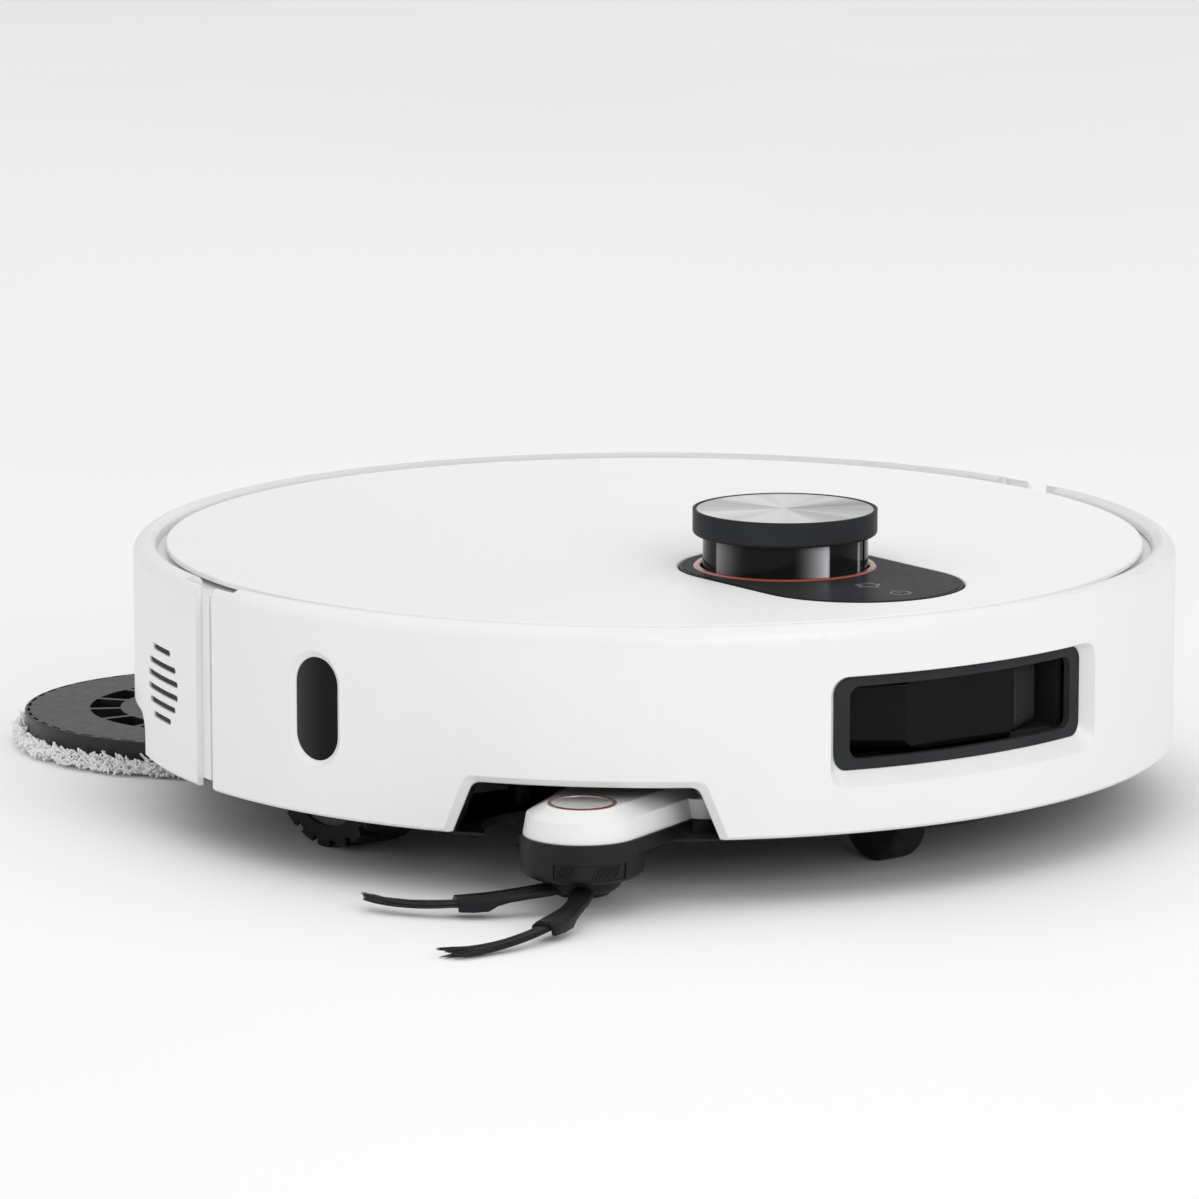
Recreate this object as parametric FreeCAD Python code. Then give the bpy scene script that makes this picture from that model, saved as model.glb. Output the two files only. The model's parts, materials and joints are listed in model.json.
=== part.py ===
import FreeCAD, Part
import math
import os

# Robotic floor cleaner, all sizes in millimetres. +Z is up and z = 0 is the floor. The robot drives
# towards -Y and its right-hand side is -X. An azimuth (az) is counted from the front, -Y, and is
# positive towards the robot's right.

os.makedirs("parts", exist_ok=True)
V = FreeCAD.Vector
UP = V(0, 0, 1)

# ---- round body -------------------------------------------------------------------------------
BODY_R = 175.0              # outside of the bumper and of the rear shell
WALL_R = 172.8              # inside of the same skins
SKIN_BOTTOM = 21.5
CREST_R, CREST_Z = 170.6, 88.8
SHOULDER_Z = 83.3           # where the straight side turns into the round top edge
TROUGH_R = 167.0            # inner wall of the sunken gutter around the lid
BUMPER_AZ = 90.8            # the bumper covers this much to either side of the front
REAR_AZ = 94.0              # the rear shell starts here
SEAM_AZ, CREST_RELIEF = 92.4, 5.0
SEAM_POST_R = 172.3         # floor of the channel between bumper and rear shell

# ---- chassis levels ---------------------------------------------------------------------------
PAN_R = 170.0
BILGE_R, BILGE_RISE = 156.0, 2.2           # outside this radius the underside rises to the edge
PAN_BOTTOM, PAN_FLOOR = 18.0, 21.0
ROOF_BOTTOM, ROOF_TOP = 24.0, 27.0      # raised floor over the two mops
STEP_Y = 8.0                            # the low front pan ends here
WALL = 3.0
MID_BOTTOM, MID_TOP = 38.0, 41.0        # middle floor, the roof of the two arm bays
MID_R = 165.6
DECK_BOTTOM, DECK_TOP = 82.5, 84.5
DECK_R = 170.0

# ---- lid, control panel and turret ------------------------------------------------------------
LID_R, LID_BOTTOM, LID_TOP = 163.9, 86.2, 88.0
TURRET_Y = -72.3
PANEL_FRONT_Y = -110.5
PANEL_R, PANEL_TOP = 34.6, 88.2
GASKET_W = 0.9
GAP = 0.4                               # free gap between separate parts that face each other
RING_R, RING_BORE_R = 30.0, 27.7
BARREL_R, BARREL_BOTTOM = 27.3, 62.0
CAP_R, CAP_BOTTOM, CAP_TOP = 30.3, 99.0, 107.3
PILLAR_AZ = (-14.2, 120.2, -127.0)
PILLAR_HALF = 20.5

# ---- front window and side window -------------------------------------------------------------
WINDOW_R = 170.6                        # face of the black frame
WINDOW = (-17.1, 17.1, 40.7, 70.9)      # az, az, z, z at the frame face
WINDOW_MOUTH = (-17.85, 17.85, 36.4, 71.8)
WINDOW_HOLE = (-15.2, 15.2, 44.4, 67.6)
WINDOW_COLLAR = (-15.45, 15.45, 44.0, 68.0)
WINDOW_CUT = (-15.6, 15.6, 43.8, 68.3)  # opening in the skin around the collar
SEAT_R = 169.3                          # floor of the pocket that the frame lies in
LEDGE_R = 168.25                        # back of the thicker skin round the frame
SIDE_AZ, SIDE_Z = 74.3, 55.8            # centre of the edge sensor
SIDE_W, SIDE_H = 17.3, 33.4
SIDE_BEVEL = 2.3

# ---- brush arm --------------------------------------------------------------------------------
HUB = (-121.0, -127.0)                  # axis of the side brush with the arm out
ARM_PIVOT = (-73.0, -126.0)
ARM_CIRCLES = (HUB + (18.6,), (-95.0, -98.0, 10.0), (-80.0, -119.0, 10.0))
ARM_EAR = ARM_PIVOT + (9.0,)
ARM_SWING = -32.0                       # turn that tucks the arm in
ARM_NOTCH = (31.7, 55.4, 10.0, 38.0)       # az, az, z, z; the width is the one at the top
ARM_NOTCH_MOUTH = (30.7, 56.4, 10.0, 40.4)
ARM_NOTCH_FLARE = 0.42                     # each side moves out this much per mm down
ARM_BODY_Z = (19.5, 24.0)
CUP_R, CUP_BOTTOM = 19.5, 11.2
COVER_TOP = 33.5
GRIP_AZ, GRIP_Z = (-9.0, 63.0), (12.6, 17.6)
BADGE_R, BADGE_RING_W = 10.8, 1.1
BRUSH_AZ = (174.0, 234.0)               # direction of each limb, counted from +X
BRUSH_REACH, BRUSH_SWIRL = 71.0, -30.0
PIN_R, PIN_BORE_R = 4.0, 4.06

# ---- mops -------------------------------------------------------------------------------------
MOP_RIGHT = (-73.0, 160.0)              # axis of the right mop with its arm out
MOP_PIVOT = (-25.0, 121.5)
MOP_LEFT = (73.0, 83.0)
MOP_SWING = 77.4                        # turn that tucks the right mop in
MOP_ARM_Z = (24.6, 35.0)
MOP_ARM_HUB_R, MOP_ARM_EAR_R = 20.0, 17.0
MOP_NOTCH = (110.5, 166.0, 10.0, 36.0)
PLATE_R, PLATE_TOP, PLATE_BOTTOM = 67.5, 12.0, 5.5
PLATE_RING = (34.0, 44.7)               # ring of openings around the middle of the plate
SPOKES, SPOKE_W, SPOKE_START = 15, 2.4, 127.0
RIM_SLOTS = 48
PAD_R, PAD_BORE_R = 70.0, 46.0
MOP_SHAFT_R, MOP_SHAFT_BORE_R = 6.0, 6.06
SLEEVE_R, SLEEVE_BORE_R = 10.0, 10.06
SLEEVE_Z = (12.6, 28.5)                 # the lift carries the sleeve up by 5 mm

# ---- wheels -----------------------------------------------------------------------------------
WHEEL_X, WHEEL_Y, WHEEL_R = 127.5, -5.9, 35.0
WHEEL_Z = WHEEL_R
WHEEL_W = 21.0
TYRE_BORE_R = 28.0
LUGS = 22
WELL = (85.0, 142.0, -48.0, 38.0)       # wheel well in plan, for the left side
SUSPENSION_Y, SUSPENSION_Z = 26.0, 62.0
AXLE_R = 3.0
SPRING_X = 110.3
CASTER_X, CASTER_Y = 0.0, -136.0        # swivel axis
CASTER_TRAIL, CASTER_R, CASTER_W = 10.0, 15.0, 13.0

# ---- main brush -------------------------------------------------------------------------------
ROLLER_Y, ROLLER_Z, ROLLER_R, ROLLER_HALF = -48.0, 18.2, 17.0, 73.0
HOUSING = (-84.0, 84.0, -70.0, -26.0)
BIN = (-70.0, 70.0, -34.0, 50.0)
BIN_MOUTH = (-71.0, 71.0, -35.0, 51.0)
FAN = (-90.0, 78.0)

CONTACT_X, CONTACT_Y = 20.0, 173.3      # charging contacts, and their flat outer face
CLIFF_AZ = (-62.0, -22.0, 22.0, 66.0)
SCREW_SPOTS = ((-60.0, -12.0), (60.0, -12.0), (-102.0, -66.0), (102.0, -66.0), (45.0, -148.0),
               (100.0, -115.0))
VENT_AZ, VENT_HALF = 103.45, 1.0
VENTS = ((61.5, 17.0), (56.5, 26.0), (52.1, 29.0), (47.6, 29.0), (43.3, 25.0), (38.8, 17.0))


# ---- helpers ----------------------------------------------------------------------------------
def cyl(r, z0, z1, x=0.0, y=0.0):
    return Part.makeCylinder(r, z1 - z0, V(x, y, z0))


def tube(r_out, r_in, z0, z1, x=0.0, y=0.0):
    return cyl(r_out, z0, z1, x, y).cut(cyl(r_in, z0 - 1, z1 + 1, x, y))


def cone(r0, r1, z0, z1, x=0.0, y=0.0):
    return Part.makeCone(r0, r1, z1 - z0, V(x, y, z0))


def rod_x(r, x0, x1, y, z):
    return Part.makeCylinder(r, x1 - x0, V(x0, y, z), V(1, 0, 0))


def box(x0, x1, y0, y1, z0, z1):
    return Part.makeBox(x1 - x0, y1 - y0, z1 - z0, V(x0, y0, z0))


def fuse(shapes):
    whole = shapes[0]
    for shape in shapes[1:]:
        whole = whole.fuse(shape)
    return whole.removeSplitter()


def cut(shape, tools):
    for tool in tools:
        shape = shape.cut(tool)
    return shape


def turned(shape, degrees, x=0.0, y=0.0):
    copy = shape.copy()
    copy.rotate(V(x, y, 0), UP, degrees)
    return copy


def to_az(shape, az):
    """Carry a shape made at the front to another azimuth."""
    return turned(shape, -az)


def mirrored(shape):
    """The same shape on the robot's other side."""
    return shape.mirror(V(0, 0, 0), V(1, 0, 0))


def at_az(az, r):
    angle = math.radians(az)
    return (-r * math.sin(angle), -r * math.cos(angle))


def ring_sector(profile, az0, az1):
    """Turn a closed (radius, z) face around the body from az0 to az1."""
    start = turned(profile, -90.0 - az0)
    return start.revolve(V(0, 0, 0), UP, az0 - az1)


def profile_face(points):
    corners = [V(r, 0, z) for r, z in points]
    return Part.Face(Part.makePolygon(corners + corners[:1]))


def plan_prism(points, z0, z1):
    corners = [V(x, y, z0) for x, y in points]
    return Part.Face(Part.makePolygon(corners + corners[:1])).extrude(V(0, 0, z1 - z0))


def hull_wire(circles, grow, z):
    """Wire around circles (x, y, r), listed clockwise seen from above, as tangent lines and arcs."""
    ends = []
    count = len(circles)
    for i in range(count):
        xa, ya, ra = circles[i]
        xb, yb, rb = circles[(i + 1) % count]
        ra, rb = ra + grow, rb + grow
        span = math.hypot(xb - xa, yb - ya)
        heading = math.atan2(yb - ya, xb - xa)
        normal = heading + math.acos((ra - rb) / span)
        ends.append((V(xa + ra * math.cos(normal), ya + ra * math.sin(normal), z),
                     V(xb + rb * math.cos(normal), yb + rb * math.sin(normal), z), normal))
    edges = []
    for i in range(count):
        start, stop, normal = ends[i]
        edges.append(Part.makeLine(start, stop))
        x, y, r = circles[(i + 1) % count]
        after = ends[(i + 1) % count][2]
        sweep = (normal - after) % (2 * math.pi)
        middle = normal - sweep / 2
        mid = V(x + (r + grow) * math.cos(middle), y + (r + grow) * math.sin(middle), z)
        edges.append(Part.Arc(stop, mid, ends[(i + 1) % count][0]).toShape())
    return Part.Wire(edges)


def hull_prism(circles, grow, z0, z1):
    return Part.Face(hull_wire(circles, grow, z0)).extrude(V(0, 0, z1 - z0))


def opening_side(r_in, r_out, az_in, az_out, shift):
    """Three points along one side of an opening, seen from above, moved along the skin by shift."""
    xa, ya = at_az(az_in, r_in)
    xb, yb = at_az(az_out, r_out)
    xc, yc = at_az(az_out, r_out + 30.0)
    dx = -shift * math.cos(math.radians(az_in))
    dy = shift * math.sin(math.radians(az_in))
    points = ((xa - (xb - xa) * 0.5, ya - (yb - ya) * 0.5), (xb + (xb - xa) * 2.0, yb + (yb - ya) * 2.0),
              (xc, yc))
    return [(x + dx, y + dy) for x, y in points]


def bevel_cutter(r_in, r_out, inner, outer, corner, flare=0.0):
    """Opening in the round skin: outline inner at r_in grows to outline outer at r_out."""
    grow = 1.0 / (r_out - r_in)
    low = inner[2] - outer[2]
    high = outer[3] - inner[3]
    reach = r_out + 1.5
    scale = (reach - r_in) * grow
    ring = ring_sector(profile_face(((r_in, inner[2]), (r_in, inner[3]),
                                     (reach, inner[3] + high * scale),
                                     (reach, inner[2] - low * scale))),
                       inner[0] - 12.0, inner[1] + 12.0)
    wires = []
    for z in (0.0, 90.0):
        out = flare * (inner[3] - z)
        left = opening_side(r_in, r_out, inner[0], outer[0], -out)
        right = opening_side(r_in, r_out, inner[1], outer[1], out)
        plan = [V(x, y, z) for x, y in left + right[::-1]]
        wires.append(Part.makePolygon(plan + plan[:1]))
    cutter = ring.common(Part.makeLoft(wires, True, True))
    corners = []
    for edge in cutter.Edges:
        radii = [math.hypot(v.X, v.Y) for v in edge.Vertexes]
        open_below = edge.BoundBox.ZMax < SKIN_BOTTOM
        if len(radii) == 2 and abs(radii[0] - radii[1]) > 1.0 and not open_below:
            corners.append(edge)
    return cutter.makeFillet(corner, corners)


def through_cutter(r0, r1, outline, corner, flare=0.0):
    return bevel_cutter(r0, r1, outline, outline, corner, flare)


def stadium(width, height, y0, y1, z):
    """Upright stadium at the front, running from y0 to y1."""
    r = width / 2
    straight = height / 2 - r
    ends = [Part.makeCylinder(r, y1 - y0, V(0, y0, z + side * straight), V(0, 1, 0)) for side in (-1, 1)]
    return fuse(ends + [box(-r, r, y0, y1, z - straight, z + straight)])


def stadium_wire(width, height, y, z):
    r = width / 2
    straight = height / 2 - r
    a, b = V(r, y, z - straight), V(r, y, z + straight)
    c, d = V(-r, y, z + straight), V(-r, y, z - straight)
    return Part.Wire([Part.makeLine(a, b), Part.Arc(b, V(0, y, z + straight + r), c).toShape(),
                      Part.makeLine(c, d), Part.Arc(d, V(0, y, z - straight - r), a).toShape()])


def pill(grow, z0, z1):
    """The long round shape of the control panel."""
    r = PANEL_R + grow
    return fuse([cyl(r, z0, z1, 0, TURRET_Y), cyl(r, z0, z1, 0, PANEL_FRONT_Y),
                 box(-r, r, PANEL_FRONT_Y, TURRET_Y, z0, z1)])


def arm_bay():
    """Room swept by the brush arm between out and tucked in."""
    steps, grow = 4, 4.0
    arm = hull_prism(ARM_CIRCLES, grow, PAN_BOTTOM - 2, MID_BOTTOM)
    room = cyl(ARM_EAR[2] + grow, PAN_BOTTOM - 2, MID_BOTTOM, ARM_EAR[0], ARM_EAR[1])
    for i in range(steps + 1):
        room = room.fuse(turned(arm, ARM_SWING * i / steps, *ARM_PIVOT))
    return room


def mop_arm_outline(grow, z0, z1):
    circles = (MOP_RIGHT + (MOP_ARM_HUB_R,), MOP_PIVOT + (MOP_ARM_EAR_R,))
    return hull_prism(circles, grow, z0, z1)


def mop_bay():
    """Room swept by the mop arm between out and tucked in."""
    steps = 6
    room = mop_arm_outline(2.0, ROOF_BOTTOM - 1, MID_BOTTOM)
    return fuse([turned(room, MOP_SWING * i / steps, *MOP_PIVOT) for i in range(steps + 1)])


def both_wells(z0, z1):
    x0, x1, y0, y1 = WELL
    return [box(x0, x1, y0, y1, z0, z1), box(-x1, -x0, y0, y1, z0, z1)]


# ---- skins ------------------------------------------------------------------------------------
def skin_profile(bead_bottom):
    """Section of the side skin: straight wall, round crest and the wall of the gutter."""
    lip = 0.9
    points = ((WALL_R, bead_bottom), (WALL_R, SKIN_BOTTOM), (BODY_R - lip, SKIN_BOTTOM),
              (BODY_R, SKIN_BOTTOM + lip), (BODY_R, SHOULDER_Z))
    edges = [Part.makeLine(V(a[0], 0, a[1]), V(b[0], 0, b[1])) for a, b in zip(points, points[1:])]
    crest, gutter = V(CREST_R, 0, CREST_Z), V(TROUGH_R + 0.6, 0, CREST_Z - 1.6)
    foot = V(TROUGH_R, 0, bead_bottom)
    edges.append(Part.Arc(V(BODY_R, 0, SHOULDER_Z), V(BODY_R - 1.15, 0, CREST_Z - 1.6), crest).toShape())
    edges.append(Part.Arc(crest, V(TROUGH_R + 1.8, 0, CREST_Z - 0.45), gutter).toShape())
    edges.append(Part.makeLine(gutter, foot))
    edges.append(Part.makeLine(foot, V(WALL_R, 0, bead_bottom)))
    return Part.Face(Part.Wire(edges))


def crest_reliefs():
    """The inner half of the crest stops short of the two seams, which widens them at the top."""
    r0, r1, z0, z1 = TROUGH_R - 1, WALL_R + 0.2, DECK_TOP, CREST_Z + 1
    section = profile_face(((r0, z0), (r0, z1), (r1, z1), (r1, z0)))
    return [ring_sector(section, az - CREST_RELIEF, az + CREST_RELIEF) for az in (SEAM_AZ, -SEAM_AZ)]


def front_bumper():
    skin = ring_sector(skin_profile(DECK_TOP + 0.5), -BUMPER_AZ, BUMPER_AZ)
    mouth = bevel_cutter(SEAT_R, BODY_R, window_outline(SEAT_R), WINDOW_MOUTH, 6.0)
    hole = through_cutter(150.0, WINDOW_R + 0.5, WINDOW_CUT, 4.0)
    notch = through_cutter(150.0, BODY_R, ARM_NOTCH, 5.0, ARM_NOTCH_FLARE)
    notch_bevel = bevel_cutter(WALL_R, BODY_R, ARM_NOTCH, ARM_NOTCH_MOUTH, 6.0, ARM_NOTCH_FLARE)
    side = SIDE_BEVEL
    bevel = Part.makeLoft([stadium_wire(SIDE_W + 2 * side, SIDE_H + 2 * side, -BODY_R, SIDE_Z),
                           stadium_wire(SIDE_W, SIDE_H, -WALL_R - 0.6, SIDE_Z)], True, True)
    outside = stadium(SIDE_W + 2 * side, SIDE_H + 2 * side, -BODY_R - 3, -BODY_R + 0.05, SIDE_Z)
    opening = stadium(SIDE_W, SIDE_H, -BODY_R, -150, SIDE_Z)
    side_cuts = [to_az(part, SIDE_AZ) for part in (bevel, outside, opening)]
    return cut(skin.fuse(window_ledge()), [mouth, hole, notch, notch_bevel] + side_cuts + crest_reliefs())


def window_outline(r, inset_az=0.0, inset_z=0.0):
    """Outline of the sloped window pocket at radius r."""
    deep = (r - WINDOW_R) / (BODY_R - WINDOW_R)
    az0, az1, z0, z1 = [a + (b - a) * deep for a, b in zip(WINDOW, WINDOW_MOUTH)]
    return (az0 + inset_az, az1 - inset_az, z0 + inset_z, z1 - inset_z)


def window_ledge():
    """Thicker skin behind the front window that carries the black frame."""
    return ring_sector(profile_face(((LEDGE_R, 39.0), (LEDGE_R, 73.0),
                                     (WALL_R + 0.1, 74.0), (WALL_R + 0.1, 38.0))), -18.4, 18.4)


def window_frame():
    """Black frame in the pocket, with a short collar through the skin."""
    back, inset_az, inset_z = SEAT_R + 0.1, 0.12, 0.3
    plate = bevel_cutter(back, BODY_R, window_outline(back, inset_az, inset_z),
                         window_outline(BODY_R, inset_az, inset_z), 5.6)
    plate = plate.common(cyl(WINDOW_R, 30, 80))
    collar = through_cutter(LEDGE_R, WINDOW_R - 1.0, WINDOW_COLLAR, 4.0)
    collar = collar.common(cyl(WINDOW_R - 0.5, 30, 80))
    hole = through_cutter(WINDOW_R - 9.0, WINDOW_R + 2.0, WINDOW_HOLE, 3.6)
    return cut(plate.fuse(collar), [hole])


def rear_shell():
    skin = ring_sector(skin_profile(DECK_TOP), REAR_AZ, 360 - REAR_AZ)
    flange = ring_sector(profile_face(((PAN_R, ROOF_BOTTOM), (PAN_R, ROOF_TOP), (WALL_R + 0.2, ROOF_TOP),
                                       (WALL_R + 0.2, ROOF_BOTTOM))), REAR_AZ, 360 - REAR_AZ)
    posts = [ring_sector(profile_face(((DECK_R + 0.1, ROOF_BOTTOM), (DECK_R + 0.1, DECK_TOP),
                                       (SEAM_POST_R, DECK_TOP), (SEAM_POST_R, ROOF_BOTTOM))), az0, az1)
             for az0, az1 in ((87.0, 97.0), (263.0, 273.0))]
    webs = [ring_sector(profile_face(((SEAM_POST_R - 0.3, ROOF_BOTTOM), (SEAM_POST_R - 0.3, DECK_TOP),
                                      (WALL_R + 0.1, DECK_TOP), (WALL_R + 0.1, ROOF_BOTTOM))), az0, az1)
            for az0, az1 in ((92.3, 97.0), (263.0, 267.7))]
    notch = through_cutter(150.0, BODY_R + 1, MOP_NOTCH, 8.0)
    slots = [to_az(vent_slot(width, z), VENT_AZ) for z, width in VENTS]
    contacts = [box(x - 9, x + 9, 150, 180, 40, 50) for x in (-CONTACT_X, CONTACT_X)]
    return cut(fuse([skin, flange] + posts + webs), [notch] + slots + contacts + crest_reliefs())


def vent_slot(width, z, half=VENT_HALF):
    return fuse([box(-width / 2 + half, width / 2 - half, -180, -165, z - half, z + half)]
                + [Part.makeCylinder(half, 15, V(side * (width / 2 - half), -180, z), V(0, 1, 0))
                   for side in (-1, 1)])


def exhaust_filter():
    """Foam block behind the vent slots, standing on the rim of the chassis and pressed into the slots."""
    low, high = MID_BOTTOM + 0.1, 66.0
    r0, r1 = MID_R + 0.2, WALL_R - 0.1
    section = profile_face(((r0, low), (r0, high), (r1, high), (r1, low)))
    block = ring_sector(section, VENT_AZ - 6, VENT_AZ + 6)
    tongues = [to_az(vent_slot(width - 0.1, z, VENT_HALF - 0.05), VENT_AZ) for z, width in VENTS]
    reach = tube(BODY_R - 0.7, r0, low, high)
    return block.fuse([tongue.common(reach) for tongue in tongues])


# ---- chassis ----------------------------------------------------------------------------------
def chassis_base():
    front = box(-200, 200, -200, STEP_Y, 0, 90)
    rear = box(-200, 200, STEP_Y - 0.01, 200, 0, 90)
    pan = cyl(PAN_R, PAN_BOTTOM, MID_BOTTOM).common(front)
    hollow = cyl(PAN_R - WALL, PAN_FLOOR, 90).common(box(-200, 200, -200, STEP_Y - WALL, 0, 90))
    roof = cyl(PAN_R, ROOF_BOTTOM, ROOF_TOP).common(rear)
    rim = tube(PAN_R, PAN_R - WALL, ROOF_BOTTOM, MID_BOTTOM).common(rear)
    caster_cup = cyl(30.0, PAN_BOTTOM, MID_BOTTOM, CASTER_X, CASTER_Y)
    caster_well = cyl(27.5, PAN_BOTTOM - 1, 35.5, CASTER_X, CASTER_Y)
    mop_boss = cyl(18.0, ROOF_BOTTOM, MID_BOTTOM, *MOP_LEFT)
    mop_bore = cyl(SLEEVE_BORE_R, ROOF_BOTTOM - 1, 35.0, *MOP_LEFT)
    caster_bore = cyl(PIN_BORE_R, 30, MID_BOTTOM + 1, CASTER_X, CASTER_Y)
    screws = [cyl(1.5, PAN_BOTTOM - 1, MID_BOTTOM + 1, x, y) for x, y in SCREW_SPOTS]
    posts = [cyl(4.0, PAN_BOTTOM, MID_BOTTOM, x, y) for x, y in SCREW_SPOTS]
    windows = [to_az(cliff_window(), az) for az in CLIFF_AZ]
    x0, x1, y0, y1 = HOUSING
    pan = cut(pan, [hollow, rising_edge()])
    body = fuse([pan, roof, rim, caster_cup, mop_boss] + posts)
    doorway = through_cutter(150.0, BODY_R, ARM_NOTCH, 5.0, ARM_NOTCH_FLARE)
    doorway = doorway.common(cyl(BODY_R, PAN_FLOOR, MID_BOTTOM + 1))
    rooms = [caster_well, caster_bore, mop_bore, box(x0, x1, y0, y1, 0, 60), arm_bay(), mop_bay(), doorway]
    return cut(body, rooms + both_wells(0, 60) + screws + windows)


def rising_edge():
    """What is taken off under the edge of the pan, so that it hardly shows from the side."""
    low, reach = PAN_BOTTOM - 1, PAN_R + 1
    high = PAN_BOTTOM + BILGE_RISE * (reach - BILGE_R) / (PAN_R - BILGE_R)
    section = profile_face(((BILGE_R, low), (BILGE_R, PAN_BOTTOM), (reach, high), (reach, low)))
    return ring_sector(section, -95, 95)


def cliff_window():
    return box(-9, 9, -155, -147, PAN_BOTTOM - 1, PAN_FLOOR + 1)


def cliff_sensors():
    lens = box(-8.9, 8.9, -154.9, -147.1, PAN_BOTTOM + 0.4, PAN_FLOOR)
    return Part.makeCompound([to_az(lens, az) for az in CLIFF_AZ])


def chassis_screws():
    screws = []
    for x, y in SCREW_SPOTS:
        head = cone(2.0, 3.4, PAN_BOTTOM - 1.6, PAN_BOTTOM, x, y)
        drive = [box(x - 1.6, x + 1.6, y - 0.3, y + 0.3, 0, PAN_BOTTOM - 0.7),
                 box(x - 0.3, x + 0.3, y - 1.6, y + 1.6, 0, PAN_BOTTOM - 0.7)]
        screws.append(fuse([cut(head, drive), cyl(1.5, PAN_BOTTOM, MID_BOTTOM - 1, x, y)]))
    return Part.makeCompound(screws)


def mid_frame():
    """Middle floor with its side wall."""
    plate = cyl(MID_R, MID_BOTTOM, MID_TOP)
    wall = tube(MID_R, MID_R - WALL, MID_TOP, DECK_BOTTOM)
    window = box(-60, 60, -170, -148, 41.5, 76)
    exhaust = to_az(box(-18, 18, -175, -158, MID_TOP, 68), VENT_AZ)
    sensor = to_az(box(-11, 11, -175, -158, 38.9 + 2.5, 74), SIDE_AZ)
    suction = box(-38, 38, -60, -40, 30, 50)
    pins = [cyl(PIN_R, 0, 60, *ARM_PIVOT), cyl(PIN_R, 0, 60, *MOP_PIVOT)]
    return cut(fuse([plate, wall]), [window, exhaust, sensor, suction] + pins + both_wells(0, 60))


def wheel_housings():
    """Two caps that hang in the middle floor by a flange, one over each drive wheel."""
    x0, x1, y0, y1 = WELL
    t, flange, top = 1.5, 3.0, 78.0
    outer = box(x0, x1, y0, y1, MID_BOTTOM, top)
    collar = box(x0 - flange, x1 + flange, y0 - flange, y1 + flange, MID_TOP, MID_TOP + t)
    inner = box(x0 + t, x1 - t, y0 + t, y1 - t, MID_BOTTOM - 1, top - t)
    pin = rod_x(AXLE_R, x0 - 5, x1 + 5, SUSPENSION_Y, SUSPENSION_Z)
    housing = cut(fuse([outer, collar]), [inner, pin])
    return Part.makeCompound([housing, mirrored(housing)])


def top_deck():
    """White floor under the lid, with the guide sleeve of the turret below it."""
    plate = cyl(DECK_R, DECK_BOTTOM, DECK_TOP)
    sleeve = cyl(30.0, 52.0, DECK_BOTTOM, 0, TURRET_Y)
    bore = cyl(27.75, 0, 100, 0, TURRET_Y)
    bin_mouth = box(*BIN_MOUTH, 0, 100)
    return cut(fuse([plate, sleeve]), [bore, bin_mouth])


# ---- top --------------------------------------------------------------------------------------
def top_lid():
    plate = cyl(LID_R, LID_BOTTOM, LID_TOP)
    rim = [edge for edge in plate.Edges if edge.Closed and edge.BoundBox.ZMin > LID_TOP - 0.1]
    plate = plate.makeFillet(0.6, rim)
    feet = [to_az(cyl(5.0, DECK_TOP, LID_BOTTOM, 0, -152.0), az) for az in (30, 90, 150, 210, 270, 330)]
    hole = pill(GAP, 0, 100)
    lip = Part.makeLoft([pill_wire(GAP, LID_TOP - 0.6), pill_wire(GAP + 0.6, LID_TOP + 0.001)], True, True)
    return cut(fuse([plate] + feet), [hole, lip])


def pill_wire(grow, z):
    r = PANEL_R + grow
    a, b = V(r, PANEL_FRONT_Y, z), V(r, TURRET_Y, z)
    c, d = V(-r, TURRET_Y, z), V(-r, PANEL_FRONT_Y, z)
    return Part.Wire([Part.makeLine(a, b), Part.Arc(b, V(0, TURRET_Y + r, z), c).toShape(),
                      Part.makeLine(c, d), Part.Arc(d, V(0, PANEL_FRONT_Y - r, z), a).toShape()])


def control_panel():
    body = pill(-GASKET_W, DECK_TOP, PANEL_TOP)
    throat = cyl(28.2, 0, 100, 0, TURRET_Y)
    seat = cyl(RING_R, 86.6, 100, 0, TURRET_Y)
    return cut(body, [throat, seat] + icon_solids())


def panel_gasket():
    return pill(0.0, DECK_TOP, PANEL_TOP - 0.15).cut(pill(-GASKET_W, 0, 100))


def icon_solids():
    """Two plain touch icons: a house and a power ring, flush in the panel."""
    z0, line = PANEL_TOP - 0.3, 0.45
    y = -117.3
    roof = ((-4.2, y + 0.4), (0, y - 3.6), (4.2, y + 0.4))
    walls = ((-2.9, y), (-2.9, y + 3.4), (2.9, y + 3.4), (2.9, y))
    strokes = [bar(a, b, line, z0) for a, b in list(zip(roof, roof[1:])) + list(zip(walls, walls[1:]))]
    house = fuse(strokes)
    y = -133.4
    ring = tube(3.6, 3.6 - 2 * line, z0, PANEL_TOP, 0, y)
    ring = ring.cut(box(-1.3, 1.3, y, y + 9, 0, 100))
    return [house, fuse([ring]), bar((0, y + 0.6), (0, y + 4.4), line, z0)]


def bar(a, b, half, z0):
    circles = (a + (half,), b + (half,))
    return hull_prism(circles, 0.0, z0, PANEL_TOP)


def panel_icons():
    return Part.makeCompound(icon_solids())


def turret_ring():
    ring = tube(RING_R, RING_BORE_R, 86.6, LID_TOP + 0.7, 0, TURRET_Y)
    top = [edge for edge in ring.Edges if edge.Closed and edge.BoundBox.ZMin > LID_TOP + 0.5]
    return ring.makeChamfer(0.5, top)


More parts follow.
